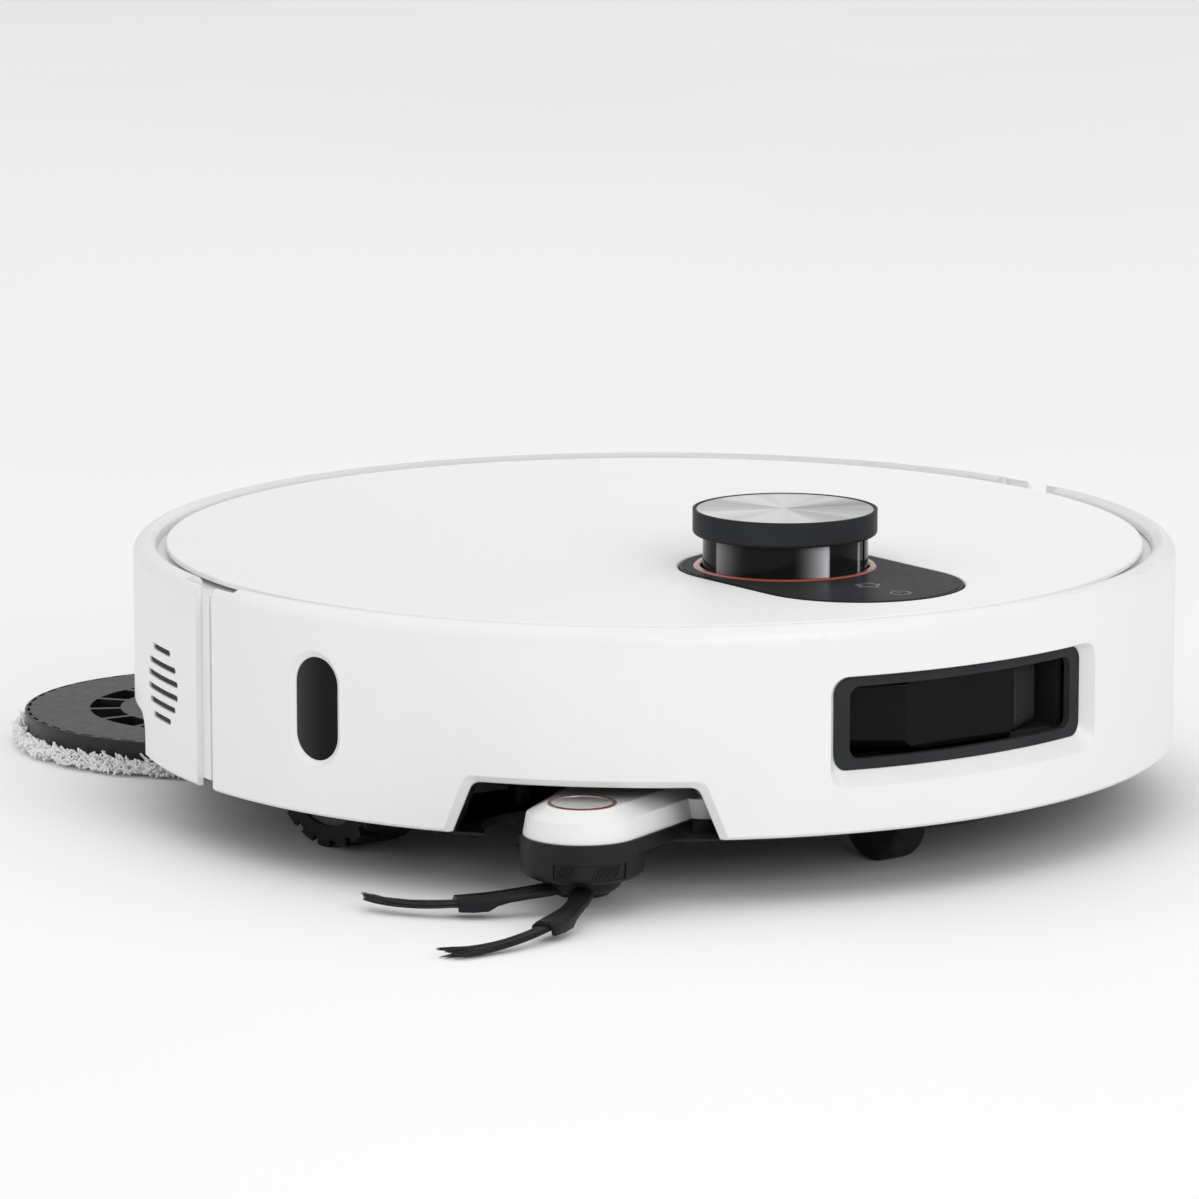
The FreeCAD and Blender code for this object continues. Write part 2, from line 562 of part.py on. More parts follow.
def turret_barrel():
    body = tube(BARREL_R, BARREL_R - 1.8, BARREL_BOTTOM, CAP_BOTTOM + 1.0, 0, TURRET_Y)
    floor = cyl(BARREL_R, BARREL_BOTTOM, BARREL_BOTTOM + 2.5, 0, TURRET_Y)
    recess = []
    for az in PILLAR_AZ:
        band = ring_sector(profile_face(((BARREL_R - 0.35, 84.0), (BARREL_R - 0.35, CAP_BOTTOM + 2),
                                         (BARREL_R + 1, CAP_BOTTOM + 2), (BARREL_R + 1, 84.0))),
                           az - PILLAR_HALF, az + PILLAR_HALF)
        band.translate(V(0, TURRET_Y, 0))
        recess.append(band)
    bearing = cyl(5.0, BARREL_BOTTOM + 2.5, 69.0, 0, TURRET_Y)
    return cut(fuse([body, floor, bearing]), recess + [cyl(2.05, 0, 100, 0, TURRET_Y)])


def turret_cap():
    body = cyl(CAP_R, CAP_BOTTOM, CAP_TOP, 0, TURRET_Y)
    low = [edge for edge in body.Edges if edge.Closed and edge.BoundBox.ZMax < CAP_BOTTOM + 0.1]
    body = body.makeFillet(1.2, low)
    dish = cyl(29.3, CAP_TOP - 1.3, CAP_TOP + 1, 0, TURRET_Y)
    seat = cyl(BARREL_R, 0, CAP_BOTTOM + 1.0, 0, TURRET_Y)
    room = cyl(24.0, 0, CAP_TOP - 4.0, 0, TURRET_Y)
    return cut(body, [dish, seat, room])


def turret_cap_disc():
    disc = cyl(29.3, CAP_TOP - 1.3, CAP_TOP - 0.15, 0, TURRET_Y)
    top = [edge for edge in disc.Edges if edge.Closed and edge.BoundBox.ZMin > CAP_TOP - 0.5]
    return disc.makeChamfer(0.35, top)


def lidar_rotor():
    body = cyl(21.0, 71.0, 92.0, 0, TURRET_Y)
    face = box(-30, 30, TURRET_Y - 30, TURRET_Y - 15, 74.0, 91.0)
    lenses = [Part.makeCylinder(r, 3.0, V(x, TURRET_Y - 17.5, 84.0), V(0, 1, 0))
              for x, r in ((-8.0, 5.0), (8.0, 3.5))]
    spindle = cyl(2.0, 63.0, 71.0, 0, TURRET_Y)
    return fuse([cut(body, [face])] + lenses + [spindle])


# ---- sensors ----------------------------------------------------------------------------------
def sensor_module():
    """Glossy block with a wide flat face and two turned-back sides."""
    face_y, back_y, side_y = -164.5, -140.0, -155.5
    outline = ((-22.3, face_y), (22.3, face_y), (37.5, side_y), (39.5, side_y + 2), (39.5, back_y),
               (-39.5, back_y), (-39.5, side_y + 2), (-37.5, side_y))
    block = plan_prism(outline, 44.5, 68.5)
    low = [edge for edge in block.Edges if corner_edge(edge, side_y)]
    return block.makeFillet(4.0, low)


def corner_edge(edge, side_y):
    """Slanted lower and upper edges of the two turned-back sides."""
    ys = sorted(v.Y for v in edge.Vertexes)
    return len(ys) == 2 and abs(ys[0] + 164.5) < 0.1 and abs(ys[1] - side_y) < 0.1


def window_tunnel():
    """Black tray around the sensor block."""
    outer = box(-47.5, 47.5, -157.0, -138.0, 41.6, 71.4)
    inner = box(-45.5, 45.5, -158.0, -140.0, 43.6, 69.4)
    feet = box(-40, 40, -145, -138, MID_TOP, 41.6)
    return fuse([cut(outer, [inner]), feet])


def side_sensor_window():
    plate = stadium(SIDE_W - 0.2, SIDE_H - 0.2, -WALL_R - 0.4, -WALL_R + 1.4, SIDE_Z)
    flange = stadium(SIDE_W + 4, SIDE_H + 4, -WALL_R + 0.5, -WALL_R + 1.4, SIDE_Z)
    return to_az(plate.fuse(flange), SIDE_AZ)


def charging_contacts():
    """Two sprung metal strips at the back that meet the dock."""
    strips = [box(x - 8.9, x + 8.9, 150, CONTACT_Y, 41.0, 49.9) for x in (-CONTACT_X, CONTACT_X)]
    return Part.makeCompound([strip.cut(cyl(MID_R, 0, 100)) for strip in strips])


# ---- inside -----------------------------------------------------------------------------------
def dust_bin():
    x0, x1, y0, y1 = BIN
    outer = box(x0, x1, y0, y1, MID_TOP, 80.0)
    inner = box(x0 + 2, x1 - 2, y0 + 2, y1 - 2, MID_TOP + 2, 81.0)
    inlet = box(-35, 35, y0 - 1, y0 + 3, MID_TOP + 2, 48.0)
    outlet = box(x0 - 1, x0 + 3, 8, 44, 50, 74)
    return cut(outer, [inner, inlet, outlet])


def bin_cover():
    x0, x1, y0, y1 = BIN
    cover = box(x0, x1, y0, y1, 80.0, 83.0)
    finger_dip = Part.makeCylinder(20.0, 50, V(-25, 30, 99.0), V(1, 0, 0))
    return cut(cover, [finger_dip])


def brush_housing():
    """Open-bottomed case of the main brush, its two bearings and the duct up to the bin."""
    x0, x1, y0, y1 = HOUSING
    case = box(x0, x1, y0, y1, PAN_BOTTOM, MID_BOTTOM)
    duct = fuse([box(-38, 38, -60, -40, MID_BOTTOM, 49), box(-38, 38, -40, BIN[2], MID_TOP, 49)])
    room = box(x0 + 3, x1 - 3, y0 + 2.5, y1 - 2.5, 0, 36.0)
    slot = box(-36, 36, -58, -42, 30, 47)
    mouth = box(-36, 36, -58, BIN[2] + 1, MID_TOP + 1.5, 47)
    hollow = cut(fuse([case, duct]), [room, slot, mouth])
    bearings = [rod_x(7.0, x, x + 4, ROLLER_Y, ROLLER_Z) for x in (x0 + 3, x1 - 7)]
    return fuse([hollow] + bearings).cut(rod_x(AXLE_R + 0.06, x0 + 2, x1 - 2, ROLLER_Y, ROLLER_Z))


def brush_guard():
    x0, x1, y0, y1 = HOUSING
    frame = box(x0 + 0.5, x1 - 0.5, y0 + 0.5, y1 - 0.5, PAN_BOTTOM - 2.0, PAN_BOTTOM)
    mouth = box(x0 + 2.5, x1 - 2.5, y0 + 3, y1 - 3, 0, 60)
    return cut(frame, [mouth])


def roller_core():
    return fuse([rod_x(9.0, -ROLLER_HALF, ROLLER_HALF, ROLLER_Y, ROLLER_Z),
                 rod_x(AXLE_R, -ROLLER_HALF - 7.5, ROLLER_HALF + 7.5, ROLLER_Y, ROLLER_Z)])


def roller_fins():
    """Six rubber blades around the core, each leaning back a little."""
    blades = []
    for i in range(6):
        blade = box(-ROLLER_HALF, ROLLER_HALF, ROLLER_Y - 1.1, ROLLER_Y + 1.1, ROLLER_Z + 8.8,
                    ROLLER_Z + ROLLER_R - 0.2)
        blade.rotate(V(0, ROLLER_Y, ROLLER_Z), V(1, 0, 0), 60.0 * i)
        blades.append(blade)
    sleeve = rod_x(11.0, -ROLLER_HALF, ROLLER_HALF, ROLLER_Y, ROLLER_Z)
    return fuse(blades + [sleeve]).cut(rod_x(9.0, -100, 100, ROLLER_Y, ROLLER_Z))


def fan_housing():
    x, y = FAN
    body = cyl(30.0, MID_TOP, 70.0, x, y)
    duct = hull_prism(((x - 14, y - 12, 7.0), (-153.0, 42.5, 7.0)), 0.0, 48.0, 64.0)
    duct = duct.common(cyl(MID_R - WALL - 0.1, 0, 100))
    bore = hull_prism(((x - 14, y - 12, 5.5), (-160.0, 39.0, 5.5)), 0.0, 49.5, 62.5)
    room = cyl(27.0, 45.0, 67.0, x, y)
    inlet = cyl(12.0, 60, 80, x, y)
    boss = cyl(6.0, 44.0, 47.0, x, y)
    return cut(cut(fuse([body, duct]), [room, bore, inlet]).fuse(boss), [cyl(2.06, 42, 60, x, y)])


def fan_impeller():
    x, y = FAN
    blades = []
    for i in range(9):
        blade = box(x + 6, x + 24.5, y - 0.8, y + 0.8, 48.6, 60.0)
        blades.append(turned(blade, 40.0 * i, x, y))
    back, hub, spindle = cyl(25.0, 47.4, 48.8, x, y), cyl(7.5, 48.0, 61.0, x, y), cyl(2.0, 42.5, 48.0, x, y)
    return fuse([back, hub, spindle] + blades)


def water_tank():
    outer = box(-50, 14, 56, 104, MID_TOP, 79)
    outer = outer.makeFillet(4.0, [e for e in outer.Edges if abs(e.Vertexes[0].Z - e.Vertexes[-1].Z) > 10])
    room = box(-48, 12, 58, 102, MID_TOP + 2, 77)
    plug = cyl(9.0, 79.0, 81.0, -18, 80)
    return outer.cut(room).fuse(plug)


def battery_pack():
    """Flat pack on four feet, clear of the mop motor's room."""
    feet = [cyl(3.5, MID_TOP, 61.0, x, y) for x in (24, 98) for y in (62, 112)]
    pack = fuse([box(19, 103, 57, 117, 61.0, 80.5)] + feet)
    grooves = [box(10, 110, 57 + i * 19.6 - 0.8, 57 + i * 19.6 + 0.8, 79.5, 82) for i in (1, 2)]
    return cut(pack, grooves)


def main_board():
    board = box(34, 96, -126, -64, 46.0, 47.6)
    legs = [cyl(2.5, MID_TOP, 46.0, x, y) for x in (38, 92) for y in (-120, -68)]
    chips = [box(48, 64, -110, -94, 47.6, 49.2), box(70, 82, -96, -84, 47.6, 48.8),
             box(44, 56, -84, -72, 47.6, 49.6), box(80, 94, -120, -112, 47.6, 54.0)]
    return fuse([board] + legs + chips)


# ---- wheels -----------------------------------------------------------------------------------
def wheel_tyre():
    """Rubber tyre with arrow-shaped grooves, made for the left wheel."""
    x0, x1 = WHEEL_X - WHEEL_W / 2, WHEEL_X + WHEEL_W / 2
    tyre = rod_x(WHEEL_R, x0, x1, WHEEL_Y, WHEEL_Z).cut(rod_x(TYRE_BORE_R, x0 - 1, x1 + 1, WHEEL_Y, WHEEL_Z))
    grooves = []
    for side in (-1, 1):
        groove = box(-1.3, WHEEL_W / 2 + 4, -1.4, 1.4, WHEEL_R - 2.6, WHEEL_R + 3)
        groove.rotate(V(0, 0, 0), UP, 90.0 - side * 62.0)
        groove.translate(V(WHEEL_X + side * 0.6, WHEEL_Y, WHEEL_Z))
        grooves.append(groove)
    tools = []
    for i in range(LUGS):
        for groove in grooves:
            tool = groove.copy()
            tool.rotate(V(WHEEL_X, WHEEL_Y, WHEEL_Z), V(1, 0, 0), 360.0 * i / LUGS)
            tools.append(tool)
    return tyre.cut(Part.makeCompound(tools))


def wheel_rim():
    x0, x1 = WHEEL_X - WHEEL_W / 2 + 1, WHEEL_X + WHEEL_W / 2 - 1
    rim = rod_x(TYRE_BORE_R, x0, x1, WHEEL_Y, WHEEL_Z)
    dish = rod_x(23.5, x1 - 5, x1 + 1, WHEEL_Y, WHEEL_Z).cut(rod_x(8.0, x1 - 6, x1 + 2, WHEEL_Y, WHEEL_Z))
    spokes = []
    for i in range(5):
        spoke = box(x1 - 5, x1 - 1, WHEEL_Y - 2.2, WHEEL_Y + 2.2, WHEEL_Z + 6, WHEEL_Z + 25)
        spoke.rotate(V(x1, WHEEL_Y, WHEEL_Z), V(1, 0, 0), 72.0 * i)
        spokes.append(spoke)
    bore = rod_x(AXLE_R + 0.05, x0 - 1, x1 - 1.5, WHEEL_Y, WHEEL_Z)
    return cut(fuse([rim.cut(dish)] + spokes), [bore])


def suspension_arm():
    """Gear case from the pivot to the wheel, with its axle and the drive motor on the inner side."""
    x0, x1 = 106.0, 114.6
    low = Part.makeCylinder(14.0, x1 - x0, V(x0, WHEEL_Y, WHEEL_Z), V(1, 0, 0))
    high = Part.makeCylinder(8.0, x1 - x0, V(x0, SUSPENSION_Y, SUSPENSION_Z), V(1, 0, 0))
    dy, dz = SUSPENSION_Y - WHEEL_Y, SUSPENSION_Z - WHEEL_Z
    span = math.hypot(dy, dz)
    ny, nz = -dz / span, dy / span
    web = [V(x0, WHEEL_Y + 12 * ny, WHEEL_Z + 12 * nz), V(x0, SUSPENSION_Y + 8 * ny, SUSPENSION_Z + 8 * nz),
           V(x0, SUSPENSION_Y - 8 * ny, SUSPENSION_Z - 8 * nz), V(x0, WHEEL_Y - 12 * ny, WHEEL_Z - 12 * nz)]
    case = Part.Face(Part.makePolygon(web + web[:1])).extrude(V(x1 - x0, 0, 0))
    motor = rod_x(11.5, 90.0, x0, WHEEL_Y, WHEEL_Z)
    axle = rod_x(AXLE_R, x0, WHEEL_X + WHEEL_W / 2 - 3, WHEEL_Y, WHEEL_Z)
    bore = rod_x(AXLE_R + 0.05, x0 - 20, x1 + 5, SUSPENSION_Y, SUSPENSION_Z)
    return fuse([low, high, case, motor, axle]).cut(bore)


def suspension_springs():
    """One coil a side that pushes the wheel down."""
    radius, wire, low, high = 4.6, 0.6, 49.4, 76.4
    helix = Part.makeHelix(3.2, high - low - 2 * wire, radius)
    section = Part.Wire(Part.makeCircle(wire, V(radius, 0, 0), V(0, 1, 0)))
    coil = Part.Wire(helix).makePipeShell([section], True, True)
    coils = []
    for x in (SPRING_X, -SPRING_X):
        spring = coil.copy()
        spring.translate(V(x, WHEEL_Y - 7.0, low + wire))
        coils.append(spring)
    return Part.makeCompound(coils)


def caster_fork():
    wheel_y = CASTER_Y + CASTER_TRAIL
    disc = cyl(22.0, 31.2, 35.0, CASTER_X, CASTER_Y)
    stem = cyl(PIN_R, 35.0, MID_BOTTOM - 0.3, CASTER_X, CASTER_Y)
    cheeks = []
    for side in (-1, 1):
        x0, x1 = sorted((CASTER_X + side * (CASTER_W / 2 + 1), CASTER_X + side * (CASTER_W / 2 + 3.6)))
        cheeks.append(box(x0, x1, wheel_y - 14, wheel_y + 5.5, CASTER_R, 31.2))
        cheeks.append(rod_x(5.5, x0, x1, wheel_y, CASTER_R))
    return cut(fuse([disc, stem] + cheeks), [rod_x(2.0, -20, 20, wheel_y, CASTER_R)])


def caster_axle():
    reach = CASTER_W / 2 + 3.6
    return rod_x(2.0, CASTER_X - reach, CASTER_X + reach, CASTER_Y + CASTER_TRAIL, CASTER_R)


def caster_wheel():
    y = CASTER_Y + CASTER_TRAIL
    wheel = rod_x(CASTER_R, CASTER_X - CASTER_W / 2, CASTER_X + CASTER_W / 2, y, CASTER_R)
    wheel = wheel.makeFillet(2.0, [edge for edge in wheel.Edges if edge.Closed])
    return wheel.cut(rod_x(2.05, -20, 20, y, CASTER_R))


# ---- brush arm --------------------------------------------------------------------------------
def headed_pin(x, y, seat_z):
    """Pivot pin hanging from the middle floor, with a head under the arm it carries."""
    return fuse([cyl(PIN_R, seat_z - 0.5, MID_TOP, x, y), cyl(7.5, seat_z - 2.0, seat_z - 0.4, x, y)])


def pivot_pins():
    """Pins of the brush arm, the mop arm and the two wheel suspensions."""
    suspension = rod_x(AXLE_R, WELL[0], WELL[1], SUSPENSION_Y, SUSPENSION_Z)
    return Part.makeCompound([headed_pin(*ARM_PIVOT, ARM_BODY_Z[0]), headed_pin(*MOP_PIVOT, MOP_ARM_Z[0]),
                              suspension, mirrored(suspension)])


def brush_arm_cover():
    low, middle = hull_wire(ARM_CIRCLES, 0.0, 24.0), hull_wire(ARM_CIRCLES, -1.1, 30.4)
    high = hull_wire(ARM_CIRCLES, -7.2, COVER_TOP)
    sides = Part.makeLoft([low, middle], True, True)
    top = Part.makeLoft([middle, high], True, True)
    ear = cyl(ARM_EAR[2], 24.0, 30.4, ARM_EAR[0], ARM_EAR[1])
    seat = cyl(BADGE_R, COVER_TOP - 0.9, 60, *HUB)
    return cut(fuse([sides, top, ear]), [seat, cyl(PIN_BORE_R, 0, 60, *ARM_PIVOT)])


def arm_badge_ring():
    return tube(BADGE_R, BADGE_R - BADGE_RING_W, COVER_TOP - 0.9, COVER_TOP + 0.3, *HUB)


def arm_badge_disc():
    return cyl(BADGE_R - BADGE_RING_W, COVER_TOP - 0.9, COVER_TOP + 0.1, *HUB)


def grip_sector(r0, r1, az0, az1, z0, z1):
    part = ring_sector(profile_face(((r0, z0), (r0, z1), (r1, z1), (r1, z0))), az0, az1)
    part.translate(V(HUB[0], HUB[1], 0))
    return part


def brush_arm_body():
    flat = hull_prism(ARM_CIRCLES, 1.0, *ARM_BODY_Z)
    ear = cyl(ARM_EAR[2] + 1, *ARM_BODY_Z, ARM_EAR[0], ARM_EAR[1])
    cup = cyl(CUP_R, CUP_BOTTOM, ARM_BODY_Z[1], *HUB)
    low = [edge for edge in cup.Edges if edge.Closed and edge.BoundBox.ZMax < CUP_BOTTOM + 1]
    cup = cup.makeFillet(2.4, low)
    clip = to_az(box(-1.2, 1.2, -CUP_R - 0.8, -CUP_R + 1.5, 18.2, 20.0), 126.0)
    clip.translate(V(HUB[0], HUB[1], 0))
    pocket = grip_sector(CUP_R - 0.9, CUP_R + 2, GRIP_AZ[0], GRIP_AZ[1], *GRIP_Z)
    spindle = cyl(2.56, 0, 20, *HUB)
    return cut(fuse([flat, ear, cup, clip]), [pocket, spindle, cyl(PIN_BORE_R, 0, 60, *ARM_PIVOT)])


def arm_grip():
    """Ribbed finger panel low on the outer side of the arm."""
    plate = grip_sector(CUP_R - 0.9, CUP_R - 0.45, GRIP_AZ[0], GRIP_AZ[1], *GRIP_Z)
    ribs = []
    for az in [46.0 + 3.2 * i for i in range(5)] + [0.0 + 3.2 * i for i in range(8)]:
        rib = box(-0.28, 0.28, -CUP_R + 0.05, -CUP_R + 0.7, GRIP_Z[0] + 0.5, GRIP_Z[1] - 0.5)
        rib.rotate(V(0, 0, (GRIP_Z[0] + GRIP_Z[1]) / 2), V(0, 1, 0), 28.0)
        rib = to_az(rib, az)
        rib.translate(V(HUB[0], HUB[1], 0))
        ribs.append(rib)
    return fuse([plate] + ribs)


def side_brush_hub():
    core = cone(10.5, 13.0, 6.4, 10.6, *HUB)
    foot = cyl(9.0, 4.8, 6.4, *HUB)
    arms = [brush_limb(base, ((8.0, 7.4, 8.0, 4.4), (20.0, 6.9, 7.0, 4.0), (31.0, 5.9, 6.6, 4.0),
                              (42.0, 4.9, 7.6, 4.2))) for base in BRUSH_AZ]
    tools = [cyl(2.5, 0, 20, *HUB), cyl(4.2, 0, 6.0, *HUB)]
    return cut(fuse([core, foot] + arms), tools)


def brush_limb(base, stations):
    """Swirled limb through stations (radius, height, width, thickness)."""
    wires = []
    for r, z, width, thick in stations:
        angle = math.radians(base + BRUSH_SWIRL * max(0.0, (r - 9.0) / (BRUSH_REACH - 9.0)) ** 1.3)
        x, y = HUB[0] + r * math.cos(angle), HUB[1] + r * math.sin(angle)
        sx, sy = -math.sin(angle) * width / 2, math.cos(angle) * width / 2
        corners = [V(x - sx, y - sy, z - thick / 2), V(x + sx, y + sy, z - thick / 2),
                   V(x + sx, y + sy, z + thick / 2), V(x - sx, y - sy, z + thick / 2)]
        wires.append(Part.makePolygon(corners + corners[:1]))
    return Part.makeLoft(wires, True, True)


def side_brush_bristles():
    stations = ((42.02, 4.9, 6.2, 2.6), (52.0, 3.7, 7.0, 2.4), (62.0, 2.4, 6.4, 2.0),
                (BRUSH_REACH, 1.3, 4.0, 1.2))
    return Part.makeCompound([brush_limb(base, stations) for base in BRUSH_AZ])


def side_brush_screw():
    """Drive spindle with the screw head that holds the brush on."""
    x, y = HUB
    head = cyl(4.0, 4.2, 6.0, x, y)
    cross = [box(x - 2.4, x + 2.4, y - 0.4, y + 0.4, 0, 5.2), box(x - 0.4, x + 0.4, y - 2.4, y + 2.4, 0, 5.2)]
    return cut(fuse([head, cyl(2.5, 6.0, 19.5, x, y)]), cross)


# ---- mops -------------------------------------------------------------------------------------
def mop_arm():
    z0, z1 = MOP_ARM_Z
    arm = mop_arm_outline(0.0, z0, z1)
    top = [edge for edge in arm.Edges if edge.BoundBox.ZMin > z1 - 0.1]
    arm = arm.makeFillet(1.6, top)
    return cut(arm, [cyl(SLEEVE_BORE_R, 0, z1 - 1.4, *MOP_RIGHT), cyl(PIN_BORE_R, 0, 60, *MOP_PIVOT)])


def mop_sleeve(x, y):
    return tube(SLEEVE_R, MOP_SHAFT_BORE_R, *SLEEVE_Z, x, y)


def mop_plate():
    """Spoked plate on its drive shaft, with a ring of openings and slots near its rim."""
    inner, outer = PLATE_RING
    disc = cyl(PLATE_R, 9.0, PLATE_TOP)
    skirt = tube(PLATE_R, PLATE_R - 2.0, PLATE_BOTTOM, 9.0)
    lip = tube(outer + 2.0, outer, PLATE_BOTTOM, 9.0)
    hub_wall = tube(inner, inner - 2.0, PLATE_BOTTOM, 9.0)
    floor = tube(PLATE_R, outer, PLATE_BOTTOM, PLATE_BOTTOM + 1.2)
    boss = cyl(11.0, PLATE_BOTTOM + 1, 9.0)
    ring = tube(outer, inner, 0, 20)
    spokes = [turned(box(inner - 1, outer + 1, -SPOKE_W / 2, SPOKE_W / 2, PLATE_BOTTOM, PLATE_TOP),
                     SPOKE_START + 360.0 * i / SPOKES) for i in range(SPOKES)]
    slots = [turned(box(PLATE_R - 1.9, PLATE_R - 0.9, -2.7, 2.7, PLATE_TOP - 0.8, 20), 360.0 * i / RIM_SLOTS)
             for i in range(RIM_SLOTS)]
    body = fuse([disc, skirt, lip, hub_wall, floor, boss]).cut(ring)
    body = fuse([body] + spokes)
    top = [edge for edge in body.Edges if edge.Closed and edge.BoundBox.ZMin > PLATE_TOP - 0.1
           and edge.BoundBox.XMax > PLATE_R - 0.1]
    body = body.makeFillet(0.5, top)
    shaft = cyl(MOP_SHAFT_R, PLATE_BOTTOM + 1, SLEEVE_Z[1] - 0.4)
    return body.cut(Part.makeCompound(slots)).fuse(shaft)


def mop_pad():
    """Soft fringed ring that meets the floor, about the origin."""
    pad = tube(PAD_R, PAD_BORE_R, 0.0, PLATE_BOTTOM)
    low = [edge for edge in pad.Edges if edge.Closed and edge.BoundBox.ZMax < 0.1]
    return pad.makeFillet(1.5, low)


def placed(shape, x, y):
    copy = shape.copy()
    copy.translate(V(x, y, 0))
    return copy


# ---- all nodes --------------------------------------------------------------------------------
def main():
    plate, pad = mop_plate(), mop_pad()
    left = {"wheel_tyre": wheel_tyre(), "wheel_rim": wheel_rim(), "suspension_arm": suspension_arm()}
    nodes = {
        "front_bumper": front_bumper(), "rear_shell": rear_shell(), "window_frame": window_frame(),
        "chassis_base": chassis_base(), "mid_frame": mid_frame(), "top_deck": top_deck(),
        "chassis_screws": chassis_screws(), "cliff_sensors": cliff_sensors(),
        "exhaust_filter": exhaust_filter(), "charging_contacts": charging_contacts(),
        "top_lid": top_lid(), "control_panel": control_panel(), "panel_gasket": panel_gasket(),
        "panel_icons": panel_icons(), "turret_ring": turret_ring(), "turret_barrel": turret_barrel(),
        "turret_cap": turret_cap(), "turret_cap_disc": turret_cap_disc(), "lidar_rotor": lidar_rotor(),
        "obstacle_sensor": sensor_module(), "window_tunnel": window_tunnel(),
        "side_sensor_window": side_sensor_window(), "dust_bin": dust_bin(), "bin_cover": bin_cover(),
        "brush_housing": brush_housing(), "brush_guard": brush_guard(), "roller_core": roller_core(),
        "roller_fins": roller_fins(), "fan_housing": fan_housing(), "fan_impeller": fan_impeller(),
        "water_tank": water_tank(), "battery_pack": battery_pack(), "main_board": main_board(),
        "wheel_housings": wheel_housings(), "suspension_springs": suspension_springs(),
        "caster_fork": caster_fork(), "caster_axle": caster_axle(), "caster_wheel": caster_wheel(),
        "pivot_pins": pivot_pins(), "brush_arm_cover": brush_arm_cover(),
        "arm_badge_ring": arm_badge_ring(), "arm_badge_disc": arm_badge_disc(),
        "brush_arm_body": brush_arm_body(), "arm_grip": arm_grip(), "side_brush_hub": side_brush_hub(),
        "side_brush_bristles": side_brush_bristles(), "side_brush_screw": side_brush_screw(),
        "mop_arm": mop_arm(),
    }
    for name, (x, y) in {"right": MOP_RIGHT, "left": MOP_LEFT}.items():
        nodes["mop_sleeve_" + name] = mop_sleeve(x, y)
        nodes["mop_plate_" + name] = placed(plate, x, y)
        nodes["mop_pad_" + name] = placed(pad, x, y)
    for name, shape in left.items():
        nodes[name + "_left"] = shape
        nodes[name + "_right"] = mirrored(shape)
    for name, shape in nodes.items():
        if not shape.isValid():
            raise ValueError(name + " is not a valid shape")
        shape.exportStep("parts/" + name + ".step")
    print(len(nodes), "nodes")


main()
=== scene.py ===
import json
import math

import bpy
import numpy as np
from mathutils import Matrix, Vector


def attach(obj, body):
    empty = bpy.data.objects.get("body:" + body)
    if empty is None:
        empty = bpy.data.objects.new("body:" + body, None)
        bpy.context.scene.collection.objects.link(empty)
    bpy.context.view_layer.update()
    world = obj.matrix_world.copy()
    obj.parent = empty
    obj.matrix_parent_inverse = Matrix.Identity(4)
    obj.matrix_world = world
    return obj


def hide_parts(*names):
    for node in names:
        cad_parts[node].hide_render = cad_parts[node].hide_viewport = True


# A robotic floor cleaner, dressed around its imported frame.
# Lengths are metres; mm() takes millimetres.

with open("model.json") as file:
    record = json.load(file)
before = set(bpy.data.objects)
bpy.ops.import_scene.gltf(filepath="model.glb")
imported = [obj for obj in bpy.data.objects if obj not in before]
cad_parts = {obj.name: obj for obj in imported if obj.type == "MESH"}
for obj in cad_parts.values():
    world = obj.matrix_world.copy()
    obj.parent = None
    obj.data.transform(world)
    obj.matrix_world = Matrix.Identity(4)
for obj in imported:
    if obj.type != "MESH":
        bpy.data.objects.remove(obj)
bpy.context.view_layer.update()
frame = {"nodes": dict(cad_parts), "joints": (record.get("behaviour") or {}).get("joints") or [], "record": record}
NODES = frame["nodes"]
JOINTS = {joint["name"]: joint for joint in frame["joints"]}


def mm(*values):
    """Millimetres in metres: one number, or a tuple of several."""
    scaled = tuple(v / 1000.0 for v in values)
    return scaled[0] if len(scaled) == 1 else scaled


# ---- camera, floor and light ------------------------------------------------------------------
VIEW_AZIMUTH, VIEW_ELEVATION = -36.3, 10.85     # where the camera stands, degrees
VIEW_DISTANCE = 2.1983
VIEW_TARGET = Vector((0.0, 0.0, 0.05))
VIEW_LENS = 195.5
VIEW_PAN, VIEW_TILT, VIEW_ROLL = -0.48, 0.41, 0.11    # how far it is turned off its target, degrees
SURROUND = 0.66
SOFTBOX = (1.5, 0.9)
SOFTBOX_DISTANCE = 2.6
FLOOR_HALF = 6.0
FLOOR_DROP = 0.0002                             # keeps the floor clear of the lowest faces


def view_direction(azimuth, elevation):
    """Unit vector from the object towards a viewer. Azimuth 0 stands in front, on the -Y side."""
    a, e = math.radians(azimuth), math.radians(elevation)
    return Vector((math.sin(a) * math.cos(e), -math.cos(a) * math.cos(e), math.sin(e)))


def make_camera():
    """The main view: a long lens, turned a little off its target."""
    back = view_direction(VIEW_AZIMUTH, VIEW_ELEVATION)
    camera = bpy.data.objects.new("camera", bpy.data.cameras.new("camera"))
    bpy.context.scene.collection.objects.link(camera)
    camera.data.lens = VIEW_LENS
    camera.data.sensor_width = 36.0
    camera.data.clip_start, camera.data.clip_end = 0.05, 50.0
    look = (-back).to_track_quat("-Z", "Y").to_matrix()
    pan = Matrix.Rotation(math.radians(-VIEW_PAN), 3, "Y")
    tilt = Matrix.Rotation(math.radians(VIEW_TILT), 3, "X")
    roll = Matrix.Rotation(math.radians(VIEW_ROLL), 3, "Z")
    camera.matrix_world = (Matrix.Translation(VIEW_TARGET + back * VIEW_DISTANCE)
                           @ (look @ pan @ tilt @ roll).to_4x4())
    bpy.context.scene.camera = camera


